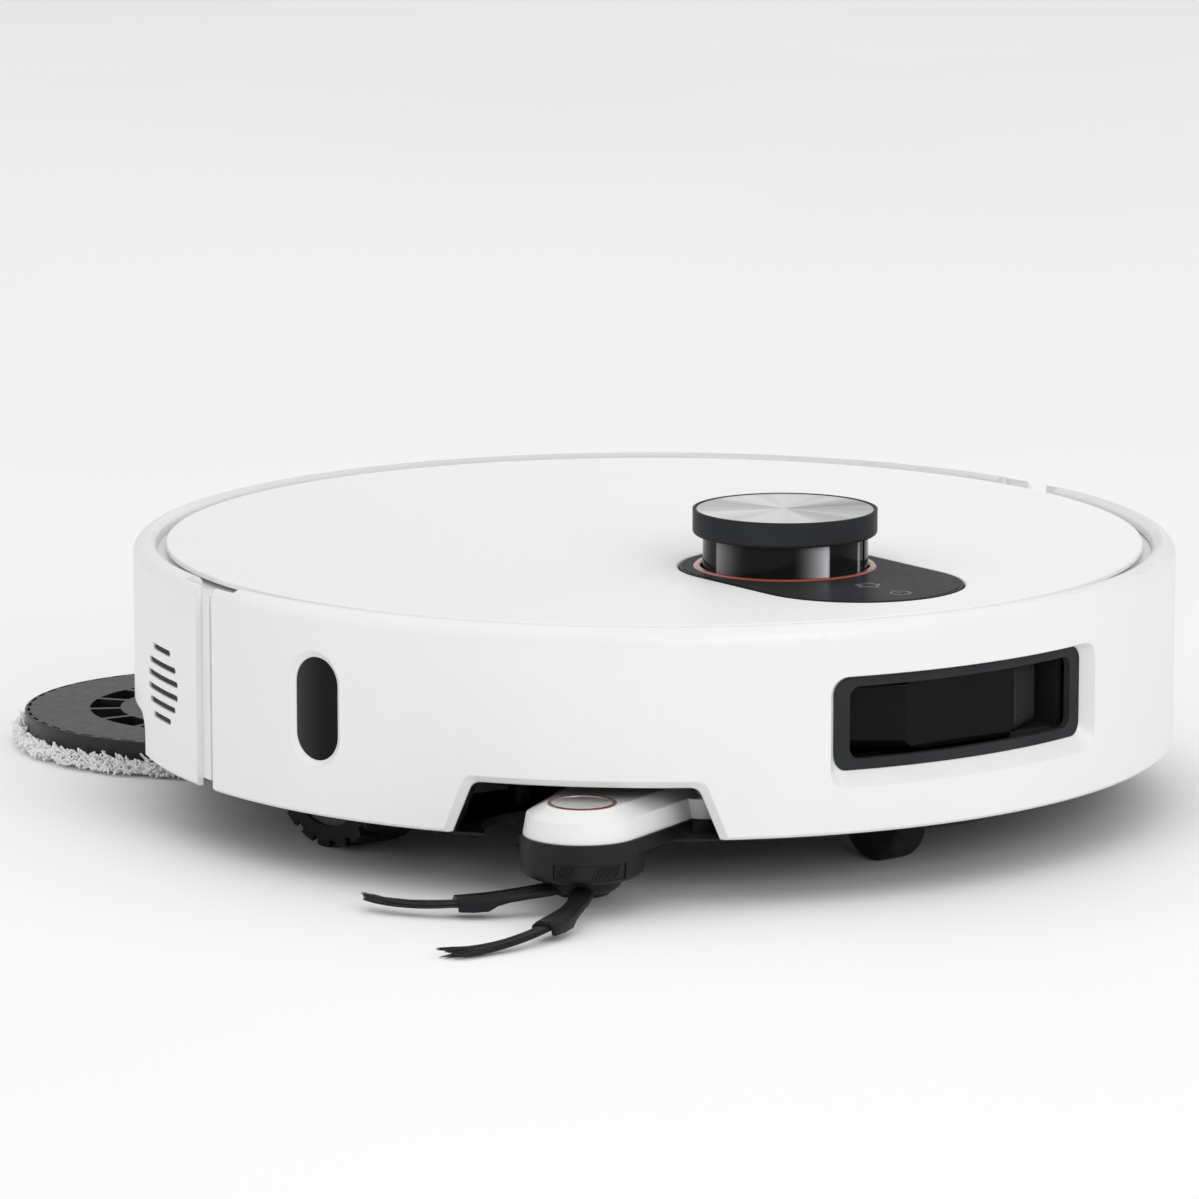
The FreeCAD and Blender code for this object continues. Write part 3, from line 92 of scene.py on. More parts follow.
def area_light(name, azimuth, elevation, distance, size, power):
    """Rectangular light that faces the object from this direction."""
    light = bpy.data.lights.new(name, "AREA")
    light.shape = "RECTANGLE"
    light.size, light.size_y = size
    light.energy = power
    lamp = bpy.data.objects.new(name, light)
    bpy.context.scene.collection.objects.link(lamp)
    direction = view_direction(azimuth, elevation)
    lamp.matrix_world = (Matrix.Translation(VIEW_TARGET + direction * distance)
                         @ (-direction).to_track_quat("-Z", "Y").to_matrix().to_4x4())


def make_studio():
    """White room: an even pale surround, one big soft light above and two softboxes."""
    world = bpy.data.worlds.new("studio")
    bpy.context.scene.world = world
    world.use_nodes = True
    surround = world.node_tree.nodes["Background"]
    surround.inputs["Color"].default_value = (1.0, 1.0, 1.0, 1.0)
    surround.inputs["Strength"].default_value = SURROUND
    area_light("ceiling", 0.0, 90.0, 3.0, (7.0, 7.0), 56.0)
    area_light("front_softbox", -8.0, 24.0, SOFTBOX_DISTANCE, SOFTBOX, 14.0)
    area_light("left_softbox", -105.0, 25.0, SOFTBOX_DISTANCE, SOFTBOX, 3.0)
    bpy.context.scene.view_settings.view_transform = "Standard"


def make_floor():
    """Plain square floor."""
    mesh = bpy.data.meshes.new("floor")
    corners = [(x * FLOOR_HALF, y * FLOOR_HALF, 0) for x, y in ((-1, -1), (1, -1), (1, 1), (-1, 1))]
    mesh.from_pydata(corners, [], [(0, 1, 2, 3)])
    floor = bpy.data.objects.new("floor", mesh)
    floor.location.z = -FLOOR_DROP
    bpy.context.scene.collection.objects.link(floor)
    mesh.materials.append(plain_floor())


# ---- material helpers -------------------------------------------------------------------------
class Graph:
    """Small helper that builds one node material around a Principled shader."""

    def __init__(self, name, edge=0.0):
        self.material = bpy.data.materials.new(name)
        self.material.use_nodes = True
        self.nodes = self.material.node_tree.nodes
        self.links = self.material.node_tree.links
        self.shader = self.nodes["Principled BSDF"]
        coordinates = self.nodes.new("ShaderNodeTexCoord")
        self.place = coordinates.outputs["Object"]
        self.spot = coordinates.outputs["Generated"]
        if edge:
            self.round_edges(edge)

    def round_edges(self, width):
        """Shade sharp edges as if they were rounded by this many metres."""
        node = self.nodes.new("ShaderNodeBevel")
        node.samples = 4
        node.inputs["Radius"].default_value = width
        self.link(node.outputs["Normal"], self.shader.inputs["Normal"])

    def along(self, axis, source=None):
        """One coordinate: in metres on the object, or 0 to 1 over its box when source is spot."""
        node = self.nodes.new("ShaderNodeSeparateXYZ")
        self.link(source or self.place, node.inputs["Vector"])
        return node.outputs[axis]

    def azimuth(self):
        """Angle around the piece in radians: 0 in front, growing towards its +X side."""
        x = self.math("SUBTRACT", self.along("X", self.spot), 0.5)
        y = self.math("SUBTRACT", 0.5, self.along("Y", self.spot))
        return self.math("ARCTAN2", x, y)

    def lobes(self, azimuth, count, peak):
        """Cosine with this many lobes around the piece, one of them at peak degrees."""
        turned = self.math("SUBTRACT", azimuth, math.radians(peak))
        return self.math("COSINE", self.math("MULTIPLY", turned, float(count)))

    def sweep(self, azimuth, low, high, start, end):
        """Map start..end degrees of an azimuth onto low..high."""
        return self.spread(azimuth, low, high, math.radians(start), math.radians(end))

    def band(self, azimuth, centre, half, soft):
        """1 inside a band around this azimuth, falling to 0 over soft. Degrees."""
        off = self.math("ABSOLUTE", self.math("SUBTRACT", azimuth, math.radians(centre)))
        return self.sweep(off, 1.0, 0.0, half, half + soft)

    def link(self, source, target):
        self.links.new(source, target)

    def set(self, **values):
        """Constant values, set on the shader's own sockets."""
        for name, value in values.items():
            self.shader.inputs[name.replace("_", " ")].default_value = value

    def noise(self, size, detail=3.0, roughness=0.5, stretch=(1.0, 1.0, 1.0)):
        """Noise with blobs of about this size in metres. Returns its 0 to 1 output."""
        mapping = self.nodes.new("ShaderNodeMapping")
        mapping.inputs["Scale"].default_value = stretch
        self.link(self.place, mapping.inputs["Vector"])
        texture = self.nodes.new("ShaderNodeTexNoise")
        texture.inputs["Scale"].default_value = 1.0 / size
        texture.inputs["Detail"].default_value = detail
        texture.inputs["Roughness"].default_value = roughness
        self.link(mapping.outputs["Vector"], texture.inputs["Vector"])
        return texture.outputs["Fac"]

    def cells(self, size, feature="F1"):
        """Cells of about this size in metres. Returns the distance to their points or edges."""
        texture = self.nodes.new("ShaderNodeTexVoronoi")
        texture.feature = feature
        texture.inputs["Scale"].default_value = 1.0 / size
        self.link(self.place, texture.inputs["Vector"])
        return texture.outputs["Distance"]

    def math(self, operation, a, b=0.0):
        """One sum on numbers or on the outputs of other nodes."""
        node = self.nodes.new("ShaderNodeMath")
        node.operation = operation
        for socket, value in zip(node.inputs, (a, b)):
            if isinstance(value, (int, float)):
                socket.default_value = value
            else:
                self.link(value, socket)
        return node.outputs[0]

    def spread(self, source, low, high, start=0.3, end=0.7):
        """Map start..end of a source onto low..high."""
        node = self.nodes.new("ShaderNodeMapRange")
        limits = {"From Min": start, "From Max": end, "To Min": low, "To Max": high}
        for name, value in limits.items():
            node.inputs[name].default_value = value
        self.link(source, node.inputs["Value"])
        return node.outputs["Result"]

    def colours(self, source, dark, light, start=0.3, end=0.7):
        """Colour between dark and light as the source runs from start to end."""
        node = self.nodes.new("ShaderNodeValToRGB")
        for element, position, colour in zip(node.color_ramp.elements, (start, end), (dark, light)):
            element.position = position
            element.color = (*colour, 1.0)
        self.link(source, node.inputs["Fac"])
        self.link(node.outputs["Color"], self.shader.inputs["Base Color"])

    def rough(self, source, low, high):
        """Roughness between low and high as the source varies."""
        self.link(self.spread(source, low, high), self.shader.inputs["Roughness"])

    def bump(self, height, depth, strength=1.0):
        """Stack one bump of this depth in metres on those made before."""
        node = self.nodes.new("ShaderNodeBump")
        node.inputs["Strength"].default_value = strength
        node.inputs["Distance"].default_value = depth
        self.link(height, node.inputs["Height"])
        before = self.shader.inputs["Normal"].links
        if before:
            self.link(before[0].from_socket, node.inputs["Normal"])
        self.link(node.outputs["Normal"], self.shader.inputs["Normal"])


def shade(colour, factor):
    """The colour made darker or lighter."""
    return tuple(min(1.0, c * factor) for c in colour)


# ---- materials --------------------------------------------------------------------------------
BODY_R, RIM_TOP = mm(175.0, 88.8)
# painted shade inside the rim fades out over these radii and fades in over these heights
RIM_SHADE_R = (BODY_R - mm(5.0), BODY_R - mm(3.8))
RIM_SHADE_Z = (RIM_TOP - mm(4.6), RIM_TOP - mm(3.8))
# the painted reflection on the black gloss starts at this facet edge
FACET = 0.785           # edge of the sensor block's last facet, as a share of the block's width
# painted highlight rays: lobes around the disc, azimuth of one of them in degrees, share of the tone
PAINTED_RAYS = ((1, -125.0, 0.15), (2, -42.0, 0.17), (3, 150.0, 0.08), (5, -36.0, 0.11), (9, 60.0, 0.07),
        (17, 20.0, 0.04))


def plain_floor():
    """Pale, almost even floor."""
    g = Graph("studio_floor")
    cloud = g.noise(0.5, 2.0)
    g.colours(cloud, (0.955, 0.955, 0.955), (0.975, 0.975, 0.975))
    g.rough(cloud, 0.75, 0.85)
    g.set(Specular_IOR_Level=0.2)
    return g.material


def white_shell():
    """Satin white moulding with a very fine grain, and painted shade that greys the inside of the rim at the rear
    left.
    """
    g = Graph("white_shell", mm(0.5))
    grain = g.noise(mm(0.45), 2.0, 0.6)
    cloud = g.math("MULTIPLY", g.noise(mm(55), 3.0), 0.12)
    x, y = g.along("X"), g.along("Y")
    radius = g.math("SQRT", g.math("ADD", g.math("MULTIPLY", x, x), g.math("MULTIPLY", y, y)))
    # painted shade: the rim's inner slope is greyed, more deeply towards the rear left
    inner = g.math("MULTIPLY", g.spread(radius, 1.0, 0.0, *RIM_SHADE_R),
                   g.spread(g.along("Z"), 0.0, 1.0, *RIM_SHADE_Z))
    rear_left = g.math("ADD", g.math("MULTIPLY", x, 0.6), g.math("MULTIPLY", y, 0.8))
    rim_painted_shade = g.math("MULTIPLY", inner, g.spread(rear_left, 0.0, 0.34, mm(40), mm(140)))
    g.colours(g.math("SUBTRACT", g.math("ADD", cloud, 0.88), rim_painted_shade), (0.36, 0.365, 0.37),
              (0.87, 0.873, 0.876), 0.0, 1.0)
    g.rough(g.noise(mm(4), 3.0), 0.34, 0.40)
    g.bump(grain, mm(0.012), 0.6)
    g.bump(g.noise(mm(30), 2.0), mm(0.05), 0.25)
    g.set(IOR=1.48, Coat_Weight=0.12, Coat_Roughness=0.22)
    return g.material


def lid_white():
    """Matt white lid with tiny raised dots, with painted light that makes it paler towards its +X side."""
    g = Graph("lid_white", mm(0.4))
    dots = g.cells(mm(0.9))
    # painted light: the lid's colour grows paler towards +X
    painted_light_drift = g.spread(g.along("X"), 0.0, 0.8, mm(-165), mm(165))
    g.colours(g.math("ADD", painted_light_drift, g.math("MULTIPLY", g.noise(mm(60), 3.0), 0.2)),
              (0.865, 0.868, 0.87), (0.965, 0.966, 0.967), 0.0, 1.0)
    g.rough(g.noise(mm(3), 3.0), 0.42, 0.50)
    g.bump(g.spread(dots, 1.0, 0.0, 0.1, 0.45), mm(0.035), 0.7)
    g.bump(g.noise(mm(0.3), 2.0), mm(0.01), 0.4)
    g.set(IOR=1.47)
    return g.material


def moulded(name, colour, low, high, grain=0.5, depth=0.02, **values):
    """Moulded plastic: cloudy tone, cloudy roughness and a fine grain."""
    g = Graph(name, mm(0.35))
    g.colours(g.noise(mm(18), 4.0), shade(colour, 0.86), shade(colour, 1.12))
    g.rough(g.noise(mm(2.5), 3.0), low, high)
    g.bump(g.noise(mm(grain), 2.0), mm(depth), 0.7)
    g.bump(g.noise(mm(9), 2.0), mm(0.05), 0.2)
    g.set(**values)
    return g.material


def mop_plate():
    """Satin grey plate, darker on its rim."""
    g = Graph("mop_plate", mm(0.35))
    face = g.spread(g.along("Z", g.spot), 0.0, 0.9, 0.82, 0.95)
    g.colours(g.math("ADD", face, g.math("MULTIPLY", g.noise(mm(25), 3.0), 0.1)),
              (0.008, 0.0085, 0.0095), (0.074, 0.076, 0.084), 0.0, 1.0)
    g.rough(g.noise(mm(4), 3.0), 0.34, 0.42)
    g.bump(g.noise(mm(0.5), 2.0), mm(0.008), 0.6)
    g.set(IOR=1.38)
    return g.material


def gloss_black():
    """Polished black plastic with a painted reflection that makes it paler past a facet's edge near +X, and a
    painted highlight line before it.
    """
    g = Graph("black_gloss", mm(0.3))
    end = g.along("X", g.spot)
    # painted reflection past the facet's edge, and a painted highlight line just before it
    side = g.spread(end, 0.0, 0.9, FACET, FACET + 0.005)
    rim = g.math("MULTIPLY", g.spread(end, 0.0, 1.6, FACET - 0.008, FACET - 0.004),
                 g.spread(end, 1.0, 0.0, FACET, FACET + 0.004))
    tone = g.math("ADD", g.math("MULTIPLY", g.noise(mm(25), 3.0), 0.12), g.math("ADD", side, rim))
    g.colours(tone, (0.0022, 0.0024, 0.0028), (0.034, 0.035, 0.037), 0.0, 1.0)
    g.rough(g.noise(mm(6), 4.0), 0.05, 0.10)
    g.bump(g.noise(mm(14), 2.0), mm(0.015), 0.35)
    g.set(IOR=1.19)
    return g.material


def sensor_glass():
    """Smoked cover of the edge sensor with a painted reflection that makes it paler towards the rear."""
    g = Graph("sensor_glass")
    # painted reflection: the cover grows paler towards the rear
    rear = g.spread(g.along("Y", g.spot), 0.0, 1.0, 0.25, 1.0)
    g.colours(g.math("ADD", g.math("MULTIPLY", rear, rear),
                     g.math("MULTIPLY", g.noise(mm(6), 3.0), 0.1)),
              (0.002, 0.002, 0.0025), (0.055, 0.057, 0.06), 0.0, 1.0)
    g.rough(g.noise(mm(4), 4.0), 0.06, 0.12)
    g.bump(g.noise(mm(9), 2.0), mm(0.01), 0.3)
    g.set(IOR=1.2)
    return g.material


def smoked_lens():
    """Smoked barrel with painted reflections: a thin pale streak and two wide ones, which are sharp on one side.
    """
    g = Graph("smoked_lens")
    a = g.azimuth()
    # painted reflections: the streaks below are painted into the barrel's colour
    fall = g.sweep(a, 1.0, 0.0, -91.0, -64.0)
    left = g.math("MULTIPLY", g.math("MULTIPLY", fall, fall), g.sweep(a, 0.0, 0.42, -93.0, -91.0))
    rise = g.sweep(a, 0.0, 1.0, -32.0, -8.0)
    front = g.math("MULTIPLY", g.math("MULTIPLY", rise, rise), g.sweep(a, 1.0, 0.0, -5.6, -4.4))
    thin = g.math("MULTIPLY", g.band(a, 26.0, 1.0, 1.5), 0.5)
    reflection_streaks = g.math("ADD", left, g.math("ADD", front, thin))
    g.colours(g.math("ADD", reflection_streaks, g.math("MULTIPLY", g.noise(mm(20), 3.0), 0.02)),
              (0.004, 0.004, 0.005), (0.66, 0.67, 0.70), 0.0, 1.0)
    g.rough(g.noise(mm(6), 4.0), 0.06, 0.12)
    g.bump(g.noise(mm(14), 2.0), mm(0.01), 0.3)
    g.set(IOR=1.18)
    return g.material


def spun_metal(name, brightness):
    """Turned metal face with painted highlights: bright rays painted into its colour round the centre, while
    grooves round the centre draw the real highlights out.
    """
    g = Graph(name)
    a = g.azimuth()
    tone = g.math("ADD", g.math("MULTIPLY", g.noise(mm(5), 2.0), 0.04), brightness)
    # painted highlights: the rays are added to the metal's colour
    for count, peak, share in PAINTED_RAYS:
        tone = g.math("ADD", tone, g.math("MULTIPLY", g.lobes(a, count, peak), share))
    g.colours(tone, (0.32, 0.325, 0.33), (0.98, 0.985, 0.99), 0.0, 1.0)
    g.rough(g.noise(mm(5), 2.0), 0.30, 0.34)
    tangent = g.nodes.new("ShaderNodeTangent")
    tangent.direction_type = "RADIAL"
    tangent.axis = "Z"
    g.link(tangent.outputs["Tangent"], g.shader.inputs["Tangent"])
    g.set(Metallic=0.45, Anisotropic=0.4)
    return g.material


def copper():
    """Copper-coloured trim with a painted reflection: deep red towards the front, pale pink behind."""
    g = Graph("copper")
    # painted reflection: pale pink where the ring faces away from the front, deep red in front
    front = g.math("ADD", g.math("MULTIPLY", g.lobes(g.azimuth(), 1, -30.0), 0.5), 0.42)
    g.colours(g.math("ADD", front, g.math("MULTIPLY", g.noise(mm(3), 3.0), 0.16)),
              (0.86, 0.60, 0.53), (0.30, 0.055, 0.03), 0.2, 0.9)
    g.rough(g.noise(mm(1.0), 2.0), 0.20, 0.30)
    g.set(Metallic=0.6)
    return g.material


def machined(name, colour, low, high):
    """Machined or plated metal with fine lines along X."""
    g = Graph(name)
    g.colours(g.noise(mm(2), 4.0), shade(colour, 0.85), shade(colour, 1.08))
    g.rough(g.noise(mm(1.5), 3.0), low, high)
    g.bump(g.noise(mm(0.4), 2.0, 0.6, (1.0, 6.0, 6.0)), mm(0.01), 0.5)
    g.set(Metallic=1.0)
    return g.material


def rubber(name, colour, low, high, dust=0.3):
    """Soft black rubber with dusty patches."""
    g = Graph(name)
    g.colours(g.noise(mm(7), 5.0, 0.65), shade(colour, 0.8), shade(colour, 1.0 + dust))
    g.rough(g.noise(mm(1.8), 3.0), low, high)
    g.bump(g.noise(mm(0.35), 2.0), mm(0.03), 0.6)
    g.set(IOR=1.28)
    return g.material


def chenille():
    """Microfibre strands: pale grey, darker between, fuzzy at the edge."""
    g = Graph("chenille")
    g.colours(g.noise(mm(2.2), 5.0, 0.7), (0.66, 0.67, 0.68), (0.99, 0.99, 0.985), 0.26, 0.50)
    g.rough(g.noise(mm(1.0), 3.0), 0.9, 1.0)
    g.bump(g.noise(mm(0.35), 3.0, 0.7), mm(0.2), 0.9)
    g.set(Sheen_Weight=0.5, Sheen_Roughness=0.5, Specular_IOR_Level=0.2)
    return g.material


def hair():
    """Black nylon bristle."""
    g = Graph("bristle_nylon")
    g.colours(g.noise(mm(1.2), 3.0), (0.006, 0.006, 0.007), (0.022, 0.022, 0.024))
    g.rough(g.noise(mm(0.8), 2.0), 0.35, 0.5)
    g.set(IOR=1.5)
    return g.material


def foam():
    """Open black filter foam."""
    g = Graph("filter_foam")
    g.colours(g.cells(mm(1.1)), (0.012, 0.012, 0.013), (0.05, 0.05, 0.052), 0.1, 0.6)
    g.rough(g.noise(mm(1.0), 3.0), 0.9, 1.0)
    g.bump(g.cells(mm(1.1)), mm(0.5), 0.9)
    return g.material


def circuit():
    """Green circuit board with brighter lines on it."""
    g = Graph("circuit_board")
    g.colours(g.cells(mm(2.2), "DISTANCE_TO_EDGE"), (0.012, 0.09, 0.045), (0.02, 0.05, 0.03),
              0.02, 0.2)
    g.rough(g.noise(mm(3), 3.0), 0.3, 0.45)
    g.bump(g.noise(mm(0.8), 2.0), mm(0.05), 0.5)
    return g.material


def clear_tank():
    """Milky water tank."""
    g = Graph("tank")
    g.colours(g.noise(mm(14), 4.0), (0.55, 0.60, 0.63), (0.66, 0.70, 0.72))
    g.rough(g.noise(mm(4), 3.0), 0.28, 0.4)
    g.bump(g.noise(mm(0.6), 2.0), mm(0.02), 0.4)
    g.set(Transmission_Weight=0.25, IOR=1.49)
    return g.material


def make_materials():
    """One material for each slot of the record."""
    return {
        "white_plastic": white_shell(),
        "lid_plastic": lid_white(),
        "dark_plastic": moulded("dark_moulding", (0.0055, 0.0057, 0.0062), 0.42, 0.52, IOR=1.36),
        "panel_plastic": moulded("panel_satin", (0.034, 0.0355, 0.038), 0.30, 0.36, 0.3, 0.004,
                                 IOR=1.06, Coat_Weight=0.05, Coat_Roughness=0.2),
        "black_gloss": gloss_black(),
        "icon_ink": moulded("icon_print", (0.16, 0.16, 0.17), 0.4, 0.5, 0.3, 0.005, IOR=1.3),
        "grey_plastic": moulded("mop_plate_grey", (0.036, 0.037, 0.041), 0.34, 0.42, 0.5, 0.01,
                                IOR=1.40),
        "brushed_metal": spun_metal("spun_metal", 0.46),
        "copper_trim": copper(),
        "steel": machined("steel", (0.52, 0.52, 0.53), 0.22, 0.36),
        "tyre_rubber": rubber("tyre_rubber", (0.013, 0.013, 0.013), 0.68, 0.85, 0.9),
        "soft_rubber": rubber("soft_rubber", (0.008, 0.0085, 0.010), 0.34, 0.46),
        "bristle": hair(),
        "mop_cloth": chenille(),
        "filter_foam": foam(),
        "smoked_lens": smoked_lens(),
        "board": circuit(),
        "battery_wrap": moulded("battery_wrap", (0.03, 0.07, 0.16), 0.25, 0.4, 0.8, 0.03),
        "tank_plastic": clear_tank(),
        "contact_metal": machined("contact_metal", (0.80, 0.66, 0.38), 0.18, 0.32),
    }


# ---- frame nodes ------------------------------------------------------------------------------
SMOOTH_ANGLE = math.radians(32.0)


def dress_frame(materials):
    """Every carried-over node gets its slot's or its own material, smooth up to its edges."""
    slots = {part["node"]: part["material_slot"] for part in frame["record"]["subparts"]}
    plate = mop_plate()
    special = {"side_sensor_window": sensor_glass(),
               # the badge's spun metal is painted paler all over: painted light against the shade under the arm's
               # cover
               "arm_badge_disc": spun_metal("badge_painted_light_metal", 1.0),
               "mop_plate_right": plate, "mop_plate_left": plate}
    for name, node in NODES.items():
        node.data.materials.clear()
        node.data.materials.append(special.get(name, materials[slots[name]]))
        node.data.shade_smooth()
        node.data.set_sharp_from_angle(angle=SMOOTH_ANGLE)


# ---- mesh helpers -----------------------------------------------------------------------------
def tubes(paths, radii, sides):
    """Closed tubes along many paths: an array strands x points x 3, one radius per point."""
    strands, points = paths.shape[:2]
    along = np.gradient(paths, axis=1)
    along /= np.linalg.norm(along, axis=2, keepdims=True) + 1e-12
    across = np.cross(along, np.array((0.0, 0.0, 1.0)) + 1e-3)
    across /= np.linalg.norm(across, axis=2, keepdims=True) + 1e-12
    over = np.cross(across, along)
    turn = np.arange(sides) * math.tau / sides
    radii = np.broadcast_to(np.asarray(radii, float), (strands, points))[..., None, None]
    rings = (paths[:, :, None, :]
             + radii * np.cos(turn)[None, None, :, None] * across[:, :, None, :]
             + radii * np.sin(turn)[None, None, :, None] * over[:, :, None, :])
    first = (np.arange(strands) * points * sides)[:, None, None]
    ring = (np.arange(points - 1) * sides)[None, :, None]
    side = np.arange(sides)[None, None, :]
    after = (side + 1) % sides
    corners = [first + ring + side, first + ring + after,
               first + ring + sides + after, first + ring + sides + side]
    quads = np.stack([np.broadcast_to(c, (strands, points - 1, sides)) for c in corners], -1)
    starts = (first[:, :, 0] + np.arange(sides)[::-1][None, :])
    ends = (first[:, :, 0] + (points - 1) * sides + np.arange(sides)[None, :])
    faces = quads.reshape(-1, 4).tolist() + starts.tolist() + ends.tolist()
    return rings.reshape(-1, 3), faces


def joined(parts):
    """One vertex list and one face list out of several."""
    vertices, faces = [], []
    for points, polygons in parts:
        offset = len(vertices)
        vertices.extend(np.asarray(points, float).tolist())
        faces.extend([[i + offset for i in polygon] for polygon in polygons])
    return vertices, faces


def lathe(profile, centre, segments=96):
    """Turn a closed (radius, z) outline about a vertical axis through centre."""
    profile = np.asarray(profile, float)
    turn = np.arange(segments) * math.tau / segments
    rings = np.stack([centre[0] + profile[None, :, 0] * np.cos(turn)[:, None],
                      centre[1] + profile[None, :, 0] * np.sin(turn)[:, None],
                      np.broadcast_to(profile[:, 1], (segments, len(profile)))], -1)
    count = len(profile)
    faces = []
    for i in range(segments):
        near, far = i * count, (i + 1) % segments * count
        for j in range(count):
            k = (j + 1) % count
            faces.append([near + j, far + j, far + k, near + k])
    return rings.reshape(-1, 3), faces


def new_piece(name, vertices, faces, body, slot, material):
    """Smooth mesh piece that rides on a body of the frame."""
    mesh = bpy.data.meshes.new(name)
    mesh.from_pydata(vertices, [], faces)
    mesh.materials.append(material)
    mesh.shade_smooth()
    piece = bpy.data.objects.new(name, mesh)
    bpy.context.scene.collection.objects.link(piece)
    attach(piece, body)
    return piece


def soften(piece, width, segments):
    """Round the piece's own edges a little."""
    bevel = piece.modifiers.new("soften", "BEVEL")
    bevel.width, bevel.segments = width, segments
    bevel.limit_method = "ANGLE"
    bevel.angle_limit = math.radians(28.0)
    bevel.harden_normals = False


# ---- side brush -------------------------------------------------------------------------------
# azimuth at the hub, counted from +X; how far it is stretched; how much its tip rises
LIMBS = ((176.0, 0.95, 1.8), (233.5, 1.12, -1.8))
LIMB_SWIRL, LIMB_INNER, LIMB_REACH = -30.0, mm(9.0), mm(71.0)
# radius, height of the roof, width, depth of the side walls
LIMB_STATIONS = ((8.0, 9.5, 8.4, 3.2), (14.0, 9.2, 7.6, 3.2), (20.0, 8.8, 7.0, 3.2),
                 (27.0, 8.2, 6.8, 3.3), (31.0, 7.8, 7.2, 3.8), (34.0, 7.4, 8.0, 5.0),
                 (38.5, 7.0, 8.2, 4.9), (43.0, 6.5, 8.0, 4.4))
WALL_T, ROOF_T, WALL_TAPER = 1.3, 1.5, 0.5      # walls get thicker by their taper under the roof
WALL_LEAN, SHOULDER_IN, SHOULDER_DROP = 0.3, 1.9, 1.5
LIMB_END = ((0, 1, 8, 9), (1, 2, 3, 4, 7, 8), (4, 5, 6, 7))    # wall, roof and wall, by corner
BRISTLES, BRISTLE_R, BRISTLE_SIDES, CLUMPS = 190, 0.15, 4, 9
BRISTLE_FLOOR = BRISTLE_R + 0.1                 # no corner or bristle's centre line is lower
TUFT_SEED = 40
BRISTLE_REACH = (0.93, 1.025)                   # shares of the tuft's full length
CLUMP_SHORTER, CLUMP_FROM, CLUMP_PULL = 0.04, 0.55, 0.75
PAST_THE_END = 7.0                              # what a bristle gains per station beyond the last
# radius, height, width and thickness of the tuft
TUFT_STATIONS = ((37.0, 4.4, 4.6, 2.2), (43.0, 4.2, 4.8, 2.2), (50.0, 3.5, 5.2, 2.4),
                 (57.0, 2.9, 5.6, 2.4), (64.0, 2.6, 6.6, 3.2), (71.5, 2.9, 9.6, 5.4))


def limb_point(axis, limb, radius, aside, height):
    """Point at a radius along a swirled limb, moved aside across it. Millimetres from the axis."""
    azimuth, stretch, lift = limb
    part = max(0.0, (mm(radius) - LIMB_INNER) / (LIMB_REACH - LIMB_INNER))
    angle = math.radians(azimuth + LIMB_SWIRL * part ** 1.3)
    reach = mm(radius) + (stretch - 1.0) * part * (LIMB_REACH - LIMB_INNER)
    out = Vector((math.cos(angle), math.sin(angle), 0.0))
    across = Vector((-math.sin(angle), math.cos(angle), 0.0))
    return (Vector((axis[0], axis[1], mm(max(height + lift * part ** 4, BRISTLE_FLOOR))))
            + out * reach + across * mm(aside))


def limb_section(roof, width, depth):
    """Upside-down channel, as ten (aside, height) corners."""
    half = width / 2
    low = roof - depth
    shoulder = roof - SHOULDER_DROP
    inside, ceiling = half - WALL_T - WALL_TAPER, roof - ROOF_T
    return ((-half, low), (-half + WALL_LEAN, shoulder), (-half + SHOULDER_IN, roof),
            (half - SHOULDER_IN, roof), (half - WALL_LEAN, shoulder), (half, low),
            (half - WALL_T, low), (inside, ceiling), (-inside, ceiling), (-half + WALL_T, low))


def brush_limb(axis, limb):
    """Swirled rubber channel, lofted through its stations and closed at both ends."""
    vertices = []
    for radius, roof, width, depth in LIMB_STATIONS:
        for aside, height in limb_section(roof, width, depth):
            vertices.append(limb_point(axis, limb, radius, aside, height))
    count = len(limb_section(*LIMB_STATIONS[0][1:]))
    faces = []
    for i in range(len(LIMB_STATIONS) - 1):
        for j in range(count):
            k = (j + 1) % count
            faces.append([i * count + j, i * count + k, (i + 1) * count + k, (i + 1) * count + j])
    last = (len(LIMB_STATIONS) - 1) * count
    for start in (0, last):
        caps = [[start + j for j in part] for part in LIMB_END]
        faces.extend(caps if start else [cap[::-1] for cap in caps])
    return np.array([list(v) for v in vertices]), faces


def hub_core(axis):
    """Cone under the arm with a stepped foot and a pocket for the screw."""
    profile = ((2.6, 10.5), (12.6, 10.5), (13.0, 10.1), (12.2, 7.8), (10.8, 6.6), (9.3, 6.2),
               (9.0, 5.4), (8.6, 4.8), (5.0, 4.8), (4.4, 5.2), (4.3, 6.1), (2.6, 6.2))
    return lathe([mm(r, z) for r, z in profile], axis, 64)


